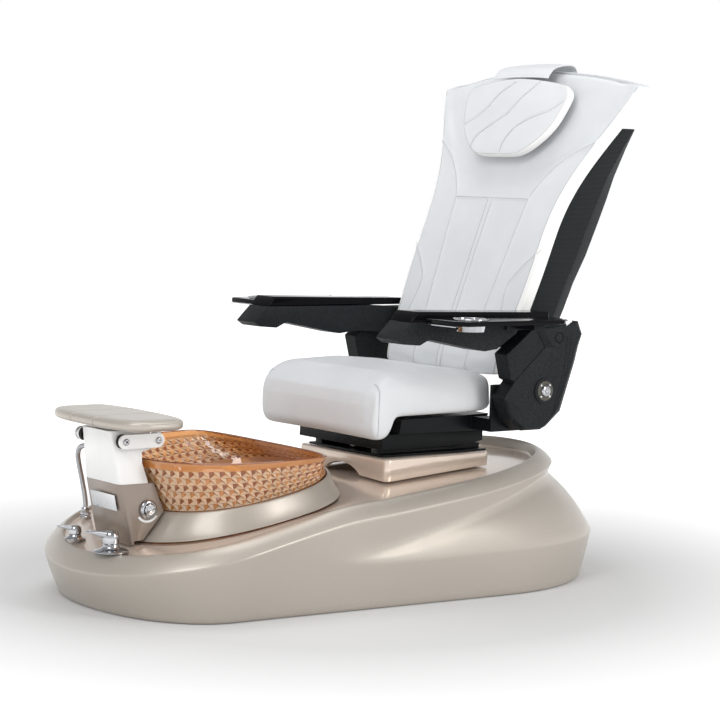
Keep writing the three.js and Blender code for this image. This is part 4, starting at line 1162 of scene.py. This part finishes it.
FRONT_FACE = [[530, 358], [560, 359], [591, 367], [696, 409], [840, 465], [994, 525], [1130, 578],
              [1250, 622], [1330, 652]]
HALF_WIDTH = [[530, 236], [560, 239], [700, 252], [800, 260], [930, 261], [990, 267], [1060, 286],
              [1134, 320], [1190, 353], [1252, 387], [1330, 420]]
BACK_DEPTH, CROWN, BAND_WIDTH = 44, 45, 17


def face_y(z):
    return sum(table(FRONT_FACE, z + s) for s in (-20, 0, 20)) / 3


def half_width(z):
    return sum(table(HALF_WIDTH, z + s) for s in (-24, 0, 24)) / 3


def sweep(z):
    return lerp(4, 42, smooth(z, 900, 1310))


def crown_at(z):
    return CROWN * smooth(z, 1050, 1296)


def back_point(x, z, depth=0.0):
    """A point of the backrest's front face, depth further back."""
    k = x / half_width(z)
    lift = crown_at(z) * (1 - k * k)
    return (x, face_y(z) + sweep(z) * k * k + depth + 0.3 * lift, z + lift)


def both(line):
    return [line, [(-x, z) for x, z in line]]


def back_seams():
    lines = [[(-148, 996), (148, 996)]]
    lines += both([(148, 996), (133, 845), (117, 690), (106, 548)])
    lines += both([(9, 996), (8.5, 696), (8.5, 548)])
    lines += both([(152, 1004), (170, 1036), (196, 1068), (240, 1106), (312, 1148)])
    lines += both([(266, 872), (236, 846), (206, 815), (180, 780), (176, 750), (186, 700), (196, 640)])
    return lines


def edge_seam(sign):
    return [(sign * (half_width(z) - BAND_WIDTH), z) for z in range(547, 1293, 12)]


def make_back_cushion():
    front, side, rear = 84, 6, 30
    rings = []
    seams = back_seams()
    levels = [537 + 753 * i / 100 for i in range(101)]

    def section(z, narrow, push, depth):
        half = half_width(z) - narrow
        rolled = ((4.2, 4.5), (1.2, 8.5), (0.2, 15), (0, 24), (0, 34), (1.5, depth - 4))
        ring = []
        for i in range(front + 1):
            x = lerp(-half + 9, half - 9, i / front)
            k = abs(x) / half
            ring.append(back_point(x, z, push + 3.2 * smooth(k, 0.93, 1.0)))
        for out, back in rolled:
            ring.append(back_point(half - out, z, push * 0.5 + back))
        for i in range(rear + 1):
            x = lerp(half - 6, -half + 6, i / rear)
            ring.append(back_point(x, z, depth))
        for out, back in reversed(rolled):
            ring.append(back_point(-half + out, z, push * 0.5 + back))
        return ring

    for z in levels:
        end = max(smooth(z, 1262, 1290), 1 - smooth(z, 537, 548))
        rings.append(section(z, 3 * end, 4 + 2 * end, BACK_DEPTH - 1 - 2 * end))
    rings.append(section(1296, 6, 9, BACK_DEPTH - 6))
    rings.append(section(1300, 13, 15, BACK_DEPTH - 12))
    cushion = skin("back_cover", rings, ["leather", "band"])
    count = len(rings[0])
    pins = []
    for r in range(len(rings)):
        for i in range(count):
            x, _, _ = rings[r][i]
            z = levels[min(r, len(levels) - 1)]
            if i <= front:
                near = min(distance_to(line, x, z)[0] for line in seams)
                if near < 4.2 or abs(abs(x) - (half_width(z) - BAND_WIDTH)) < 4.0:
                    pins.append(r * count + i)
            elif front + side < i <= front + side + rear + 1:
                pins.append(r * count + i)
    inflate(cushion, pins, pressure=6.0, cap_mm=12)
    for p in cushion.data.polygons:
        x, _, z = (c / MM for c in p.center)
        if abs(x) > half_width(min(z, 1300)) - BAND_WIDTH and z < 1290:
            p.material_index = 1
    subdivide(cushion, 1)
    carve(cushion, seams, front_of_back, 3.4, 4.2)
    carve(cushion, [edge_seam(1), edge_seam(-1)], front_of_back, 2.4, 2.8)
    put(cushion, "backrest", "white_leather", "back_cushion")
    lines = []
    for line in seams + [edge_seam(1), edge_seam(-1)]:
        smooth_line = catmull([(x, 0, z) for x, z in line], 14)
        lines.append([back_point(p.x, p.z) for p in smooth_line])
    stitched("back_stitching", cushion, lines, (0, 1, 0), "backrest", "white_leather")


def front_of_back(co):
    """Position on the backrest's face, or None behind it."""
    x, y, z = co
    lift = crown_at(z) * (1 - (x / half_width(min(z, 1330))) ** 2)
    z0 = z - lift
    if y > back_point(x, z0, 26)[1]:
        return None
    return x, z0


def carve(ob, lines, locate, depth, width):
    """Press a soft groove along each line, in millimetres, against the surface's own normal."""
    data = ob.data
    normals = [v.normal.copy() for v in data.vertices]
    for v, normal in zip(data.vertices, normals):
        spot = locate(v.co / MM)
        if spot is None:
            continue
        near = min(distance_to(line, *spot)[0] for line in lines)
        if near < 4 * width:
            v.co -= normal * depth * MM * math.exp(-((near / width) ** 2))
    data.update()


SEAT_HALF = 248


def rounded(profile, step):
    """A closed smooth curve through the profile's corners, with even spacing."""
    pts = [Vector((u, v, 0)) for u, v in profile]
    n = len(pts)
    dense = []
    for i in range(n):
        a, b, c, d = pts[i - 1], pts[i], pts[(i + 1) % n], pts[(i + 2) % n]
        span = (c - b).length
        tb = (c - a).normalized() * span
        tc = (d - b).normalized() * span
        for s in range(12):
            t = s / 12
            h = (2 * t ** 3 - 3 * t * t + 1) * b + (t ** 3 - 2 * t * t + t) * tb * 0.75
            dense.append(h + (3 * t * t - 2 * t ** 3) * c + (t ** 3 - t * t) * tc * 0.75)
    length = sum((q - p).length for p, q in zip(dense, dense[1:] + dense[:1]))
    count = int(length / step)
    made, run, target = [], 0.0, 0.0
    for p, q in zip(dense, dense[1:] + dense[:1]):
        gap = (q - p).length
        while target <= run + gap and len(made) < count:
            made.append(p.lerp(q, (target - run) / gap))
            target += length / count
        run += gap
    return [(p.x, p.y) for p in made]


SEAT_TOP = [(-47, 478), (-45, 492), (-42, 508), (-36, 522), (-27, 534), (-14, 544), (0, 549), (9, 551.5),
            (15, 553), (20, 553.5), (24, 554), (28, 554), (36, 554.4), (161, 560), (300, 548), (326, 545.5),
            (338, 544), (346, 538), (352, 530), (354.5, 515)]
SEAT_UNDER = [(-47, 472), (-46, 448), (-44, 420), (-40, 404), (-34, 394), (-24, 388), (-12, 386), (0, 389),
              (9, 396), (15, 412), (19, 430), (24, 447), (36, 447.2), (161, 448), (300, 449.5), (326, 450),
              (338, 455), (346, 462), (351, 480), (354.5, 495)]


def seat_ribs():
    """Matched points [y, z] of the cushion's top and underside, from its nose to its rear."""
    ribs = []
    stations = list(zip(SEAT_TOP, SEAT_UNDER))
    for (top, under), (next_top, next_under) in zip(stations, stations[1:]):
        steps = max(int(max(math.dist(top, next_top), math.dist(under, next_under)) / 8), 1)
        for k in range(steps):
            ribs.append((blend(top, next_top, k / steps), blend(under, next_under, k / steps)))
    ribs.append(stations[-1])
    return ribs


def arc_drop(distance, radius):
    """How far a rounded edge has fallen away at a distance from its end."""
    if distance >= radius or radius <= 0:
        return 0.0
    return radius * (1 - math.sqrt(max(1 - (1 - distance / radius) ** 2, 0)))


def make_seat_cushion():
    """A box cushion whose front drops down as a pouch; its side panels meet the front at a sewn corner."""
    side, plan_radius, across = SEAT_HALF, 24, 40
    down = (0, 2, 5, 9, 14, 20, 27, 36)
    ribs = seat_ribs()

    def half_at(y):
        return side - arc_drop(max(y + 47, 0), plan_radius)

    def rib(top, under):
        height = math.dist(top, under)
        soft, hard = min(27, height * 0.45), min(6, height * 0.2)
        drops = [d * min(1, height * 0.55 / 36) for d in down]
        low = drops[-1]
        climbs = [0, hard * 0.4, hard] + [lerp(hard, height - low, k / 8) for k in range(1, 8)]
        heights = climbs + [height - d for d in reversed(drops)]
        wall = []
        for h in heights:
            y, z = blend(under, top, h / height)
            wall.append((half_at(y) - arc_drop(h, hard) - arc_drop(height - h, soft), y, z))
        low_half, top_half = half_at(under[0]) - arc_drop(0, hard), half_at(top[0]) - arc_drop(0, soft)
        floor = [(lerp(-1, 1, i / across) * low_half, *under) for i in range(across)]
        crown = [(lerp(1, -1, i / across) * top_half, *top) for i in range(1, across)]
        return floor + wall + crown + [(-x, y, z) for x, y, z in wall[:0:-1]]

    rings = [rib(top, under) for top, under in ribs]
    cushion = skin("seat_cover", rings, "leather")
    count = len(rings[0])
    pins = []
    for r, ring in enumerate(rings):
        for i, (x, y, z) in enumerate(ring):
            flat_under = z < 456 and y > 20
            sewn = abs(abs(x) - side) < 5 and -31 < y < -21 and z < 535
            if flat_under or sewn:
                pins.append(r * count + i)
    inflate(cushion, pins, pressure=3.0, cap_mm=6)
    relax(cushion, 26)
    subdivide(cushion, 1)
    even_front(cushion)
    for sign in (1, -1):
        pucker_corner(cushion, sign * (side - 2), -26)
    put(cushion, "carriage", "white_leather", "seat_cushion")
    for sign, name in ((1, "left"), (-1, "right")):
        laid = [(sign * 300, -26 + 5 * smooth(v, 480, 540), v) for v in range(402, 540, 3)]
        stitched(f"{name}_corner_seam", cushion, [laid], (-sign, 0, 0), "carriage", "white_leather", 0.8)


def even_front(ob):
    """The front panel is one broad, even bulge between its sewn corners."""
    outline_rows = sorted([z, y] for y, z in SEAT_UNDER[:5] + SEAT_TOP[:5])
    for v in ob.data.vertices:
        x, y, z = v.co / MM
        if y > -20 or not 396 < z < 534:
            continue
        hold = smooth(z, 396, 420) * (1 - smooth(z, 505, 534)) * (1 - smooth(abs(x), 200, 232))
        bulge = 4 * (1 - (x / 240) ** 2)
        v.co.y = lerp(y, table(outline_rows, z) - bulge, hold) * MM
    ob.data.update()


def pucker_corner(ob, at_x, at_y):
    """Small gathers along the sewn front corner, and the shallow groove of the seam itself."""
    data = ob.data
    normals = [v.normal.copy() for v in data.vertices]
    for v, normal in zip(data.vertices, normals):
        x, y, z = v.co / MM
        if abs(x - at_x) > 26 or not 402 < z < 545:
            continue
        gap = y - at_y
        groove = 2.2 * math.exp(-((gap / 4) ** 2))
        ripple = 0.5 + 0.5 * math.sin(z * 0.46 + 1.3 * math.sin(z * 0.09))
        gather = 0.8 * math.exp(-(((gap - 9) / 9) ** 2)) * ripple
        v.co -= normal * (groove + gather) * MM
    data.update()


PILLOW_AT = (580, 1188)
PILLOW_LEAN = 0.36
PILLOW_HALF = 207
PILLOW_OUTLINE = [(0, 135), (75, 130), (137, 122), (185, 112), (203, 98), (207, 80), (198, 40), (185, 5),
                  (165, -25), (140, -50), (110, -72), (80, -84), (40, -87), (0, -87)]


def pillow_point(x, v, w):
    """x across, v up the face, w out towards the sitter."""
    k = x / PILLOW_HALF
    return (x, PILLOW_AT[0] + 14 * k * k + v * math.sin(PILLOW_LEAN) - w * math.cos(PILLOW_LEAN),
            PILLOW_AT[1] + v * math.cos(PILLOW_LEAN) + w * math.sin(PILLOW_LEAN))


def make_pillow():
    whole = PILLOW_OUTLINE + [(-x, v) for x, v in reversed(PILLOW_OUTLINE[1:-1])]
    edge = rounded(whole, 8.5)
    columns = len(edge)

    def ring(scale, w):
        return [pillow_point(x * scale, 24 + (v - 24) * scale, w) for x, v in edge]

    rings = []
    front, back = 17, 9
    for step in range(1, front + 1):
        k = step / front
        rings.append(ring(k * 0.985, 17 + 5 * (1 - k * k)))
    for scale, w in ((0.997, 14.5), (1.0, 10), (1.0, 3), (0.998, -4), (0.985, -9)):
        rings.append(ring(scale, w))
    for step in range(back, 0, -1):
        rings.append(ring(step / (back + 1), -12))
    pillow = skin("pillow_cover", rings, ["leather", "band"])
    piped = [r * columns + i for r in (front - 1, front + 4) for i in range(columns)]
    flat = [r * columns + i for r in range(front + 5, len(rings)) for i in range(columns)]
    inflate(pillow, piped + flat, cap_mm=7)
    for face in pillow.data.polygons:
        if all((front - 1) * columns <= i < (front + 5) * columns for i in face.vertices):
            face.material_index = 1
    subdivide(pillow, 1)
    lines = pillow_lines()
    carve(pillow, lines, front_of_pillow, 3.0, 3.4)
    put(pillow, "pillow", "white_leather", "pillow")
    curves = [catmull([(x, 0, v) for x, v in line], 10) for line in lines]
    laid = [[pillow_point(p.x, p.z, 30) for p in curve] for curve in curves]
    piping = [pillow_point(x * 0.98, 24 + (v - 24) * 0.98, 30) for x, v in edge + edge[:1]]
    inwards = (0, math.cos(PILLOW_LEAN), -math.sin(PILLOW_LEAN))
    stitched("pillow_stitching", pillow, laid + [piping], inwards, "pillow", "white_leather")


def pillow_lines():
    return [[(-175, 2), (-127, 21), (-86, 50), (-55, 89), (-3, 124)],
            [(-117, -66), (-102, -36), (-55, -6), (6, 30), (40, 74), (88, 121)],
            [(16, -82), (21, -52), (50, -12), (96, 15), (159, 39), (194, 66)]]


def front_of_pillow(co):
    x, y, z = co
    k = x / PILLOW_HALF
    dy, dz = y - PILLOW_AT[0] - 14 * k * k, z - PILLOW_AT[1]
    v = dy * math.sin(PILLOW_LEAN) + dz * math.cos(PILLOW_LEAN)
    w = -dy * math.cos(PILLOW_LEAN) + dz * math.sin(PILLOW_LEAN)
    return (x, v) if w > 12 else None


def make_strap():
    """A leather flap from the pillow's top over the crest of the backrest."""
    path = catmull([(0, 617, 1322), (0, 626, 1335), (0, 638, 1347), (0, 663, 1356), (0, 696, 1360),
                    (0, 714, 1355), (0, 724, 1341)], 8)
    points, faces = [], []
    half, steps = 111, 12
    for p in path:
        for i in range(steps + 1):
            x = lerp(-half, half, i / steps)
            points.append((x, p.y + 3 * (x / half) ** 2, p.z - 4 * (x / half) ** 2))
    for r in range(len(path) - 1):
        for i in range(steps):
            a = r * (steps + 1) + i
            faces.append((a, a + 1, a + steps + 2, a + steps + 1))
    strap = object_of("pillow_flap", points, faces, ["leather", "rubber"])
    wall = strap.modifiers.new("wall", "SOLIDIFY")
    wall.thickness = 2.6 * MM
    wall.offset = 0
    wall.material_offset_rim = 0
    bake(strap)
    bevel(strap, 0.7, 2, 50)
    put(strap, "backrest", "white_leather", "pillow_strap")


# ---------------------------------------------------------------- arms, housings and trays
def make_back_shell():
    shell = cad_copy("back_shell", "rear_shell", "ribbed")
    bevel(shell, 5, 3, 25)
    put(shell, "backrest", "black_plastic", "back_shell")
    dressed("back_frame", "back_plates", "steel", "backrest", "steel", 0.8)
    dressed("massage_carriage", "massage_rollers", "grey", "massager", "grey_plastic", 2.0, 3)
    dressed("slide_motor", "actuator", "steel", "carriage", "steel", 1.0)


def make_carriage():
    dressed("carriage_base", "carriage_plate", "satin", "carriage", "black_plastic", 2.0, 3)
    dressed("seat_pan", "pan_sides", "satin", "carriage", "black_plastic", 2.0, 3)


HOUSING_BACK = [(389, 668), (302, 605), (319, 541), (333, 535), (297, 496), (325, 436), (359, 409),
                (425, 409), (444, 417), (492, 454), (538, 582), (548, 619), (560, 652), (545, 686),
                (398, 684)]
PLATE_EDGE = [(398, 668), (431, 620), (333, 538), (299, 496), (327, 438), (360, 411), (424, 411), (443, 419),
              (490, 456), (535, 582), (545, 619), (558, 652), (543, 684)]
PLATE_FACE = [(416, 668), (456, 620), (385, 528), (347, 472), (329, 440), (363, 416), (418, 416), (436, 424),
              (476, 461), (521, 583), (531, 619), (546, 652), (530, 681)]


def make_housing(side, sign):
    """The moulded arm housing: a flat body with a raised, chamfered plate around the hinge."""
    inner, step, outer = 292.4, 341, 351.4
    body = extrusion(f"{side}_housing_body", HOUSING_BACK, *sorted((sign * inner, sign * step)), "black")
    bevel(body, 2.6, 3, 25)
    n = len(PLATE_EDGE)
    levels = ((step - 4, PLATE_EDGE), (step + 1.5, PLATE_EDGE), (outer, PLATE_FACE))
    points = [(sign * x, y, z) for x, line in levels for y, z in line]
    faces = [tuple(range(n)), tuple(range(3 * n - 1, 2 * n - 1, -1))]
    for low in (0, n):
        quads(faces, low, low + n, n)
    plate = object_of(f"{side}_housing_plate", points, faces, "black")
    bevel(plate, 1.4, 2, 14)
    creases = [tube("crease", [Vector((sign * (outer - 0.1), y, z)) for y, z in line], 0.8, "black", 6)
               for line in ([(500, 648), (492, 560), (452, 440)], [(512, 640), (503, 560), (460, 446)])]
    put(join(f"{side}_housing", body, plate, *creases), "carriage", "black_plastic", f"{side}_arm_housing")


def make_hinge_cover(side, sign):
    at = (sign * 352.4, 424, 510)
    axis = "x" if sign > 0 else "-x"
    skirt = turned("skirt", [(0, 0), (32, 0), (33, 0.8), (32.4, 2), (30, 2.4), (0, 2.4)], "black", at, axis)
    disc = turned("disc", [(0, 2), (25.5, 2), (26, 3), (25.4, 4.6), (23, 5.4), (16.4, 5.6), (15.6, 4.8),
                           (0, 4.8)], "olive", at, axis)
    hub = turned("hub", [(0, 4.6), (13.8, 4.6), (14.6, 5.4), (14, 8.4), (12.2, 10.2), (8, 10.8), (7, 9.2),
                         (5, 9), (4, 11), (0, 11.6)], "chrome", at, axis)
    parts = [skirt, disc, hub]
    for u, v in circle(4, 20.4, math.pi / 4):
        spot = (at[0] + sign * 5.2, at[1] + u, at[2] + v)
        parts.append(turned("screw", [(0, 0), (2.8, 0), (2.8, 0.8), (1.8, 1.4), (0, 1.0)], "brushed", spot,
                            axis, 20))
    put(join(f"{side}_hinge_cover", *parts), "carriage", "black_plastic", f"{side}_pivot_flange")
    cap = [(13.4, 0), (14.6, 0.7), (14, 1.4), (12, 1), (10.6, -1.2), (0, -1.4)]
    cap_at = (sign * 351.6, 472, 645)
    put(turned(f"{side}_arm_cap", cap, "satin", cap_at, axis), "carriage", "black_plastic")


def make_tray_trim(side, sign):
    """The end cap, the front strip and the screws under the tray."""
    tag = extrusion(f"{side}_tray_tag", [(355, 688.6), (373, 699), (373, 707), (354, 700)],
                    *sorted((sign * 500.2, sign * 501.6)), "white")
    strip = box_of("strip", (sign * 427, 15.2, 690.4), (104, 1.6, 2.6), "chrome")
    lip = box_of("lip", (sign * 427, 22, 690.6), (98, 12, 1.4), "clear")
    parts = [tag, strip, lip]
    for x, y in ((392, 40), (478, 40)):
        parts.append(turned("screw", [(0, 1), (3.4, 1), (3.4, -1.2), (2, -2), (0, -2.2)], "chrome",
                            (sign * x, y, 691), "z", 20))
    put(join(f"{side}_tray_trim", *parts), f"{side}_tray", "chrome")


def make_arms():
    for side, sign in (("left", 1), ("right", -1)):
        arm = f"{side}_arm"
        dressed(f"{side}_arm_frame", f"{side}_arm_body", "black", arm, "black_plastic", 3.0, 3, 25)
        dressed(f"{side}_arm_pad", f"{side}_arm_top", "gloss", arm, "black_gloss", 1.6, 3)
        dressed(f"{side}_tray_bracket", f"{side}_tray_mount", "satin", arm, "black_plastic", 1.2)
        dressed(f"{side}_tray", f"{side}_tray_board", "gloss", f"{side}_tray", "black_gloss", 1.0, 2)
        dressed(f"{side}_cup_holder", f"{side}_cup", "chrome", f"{side}_tray", "chrome", 0.8, 2)
        make_tray_trim(side, sign)
        make_housing(side, sign)
        make_hinge_cover(side, sign)


make_materials()
make_camera()
make_hose()
make_studio()
make_floor()
make_base_shell()
make_collar()
make_bowl()
make_base_pieces()
make_drain()
make_footrest_links()
make_footrest_pad()
make_button()
make_taps()
make_shower()
make_seat_cushion()
make_back_cushion()
make_pillow()
make_strap()
make_back_shell()
make_carriage()
make_arms()
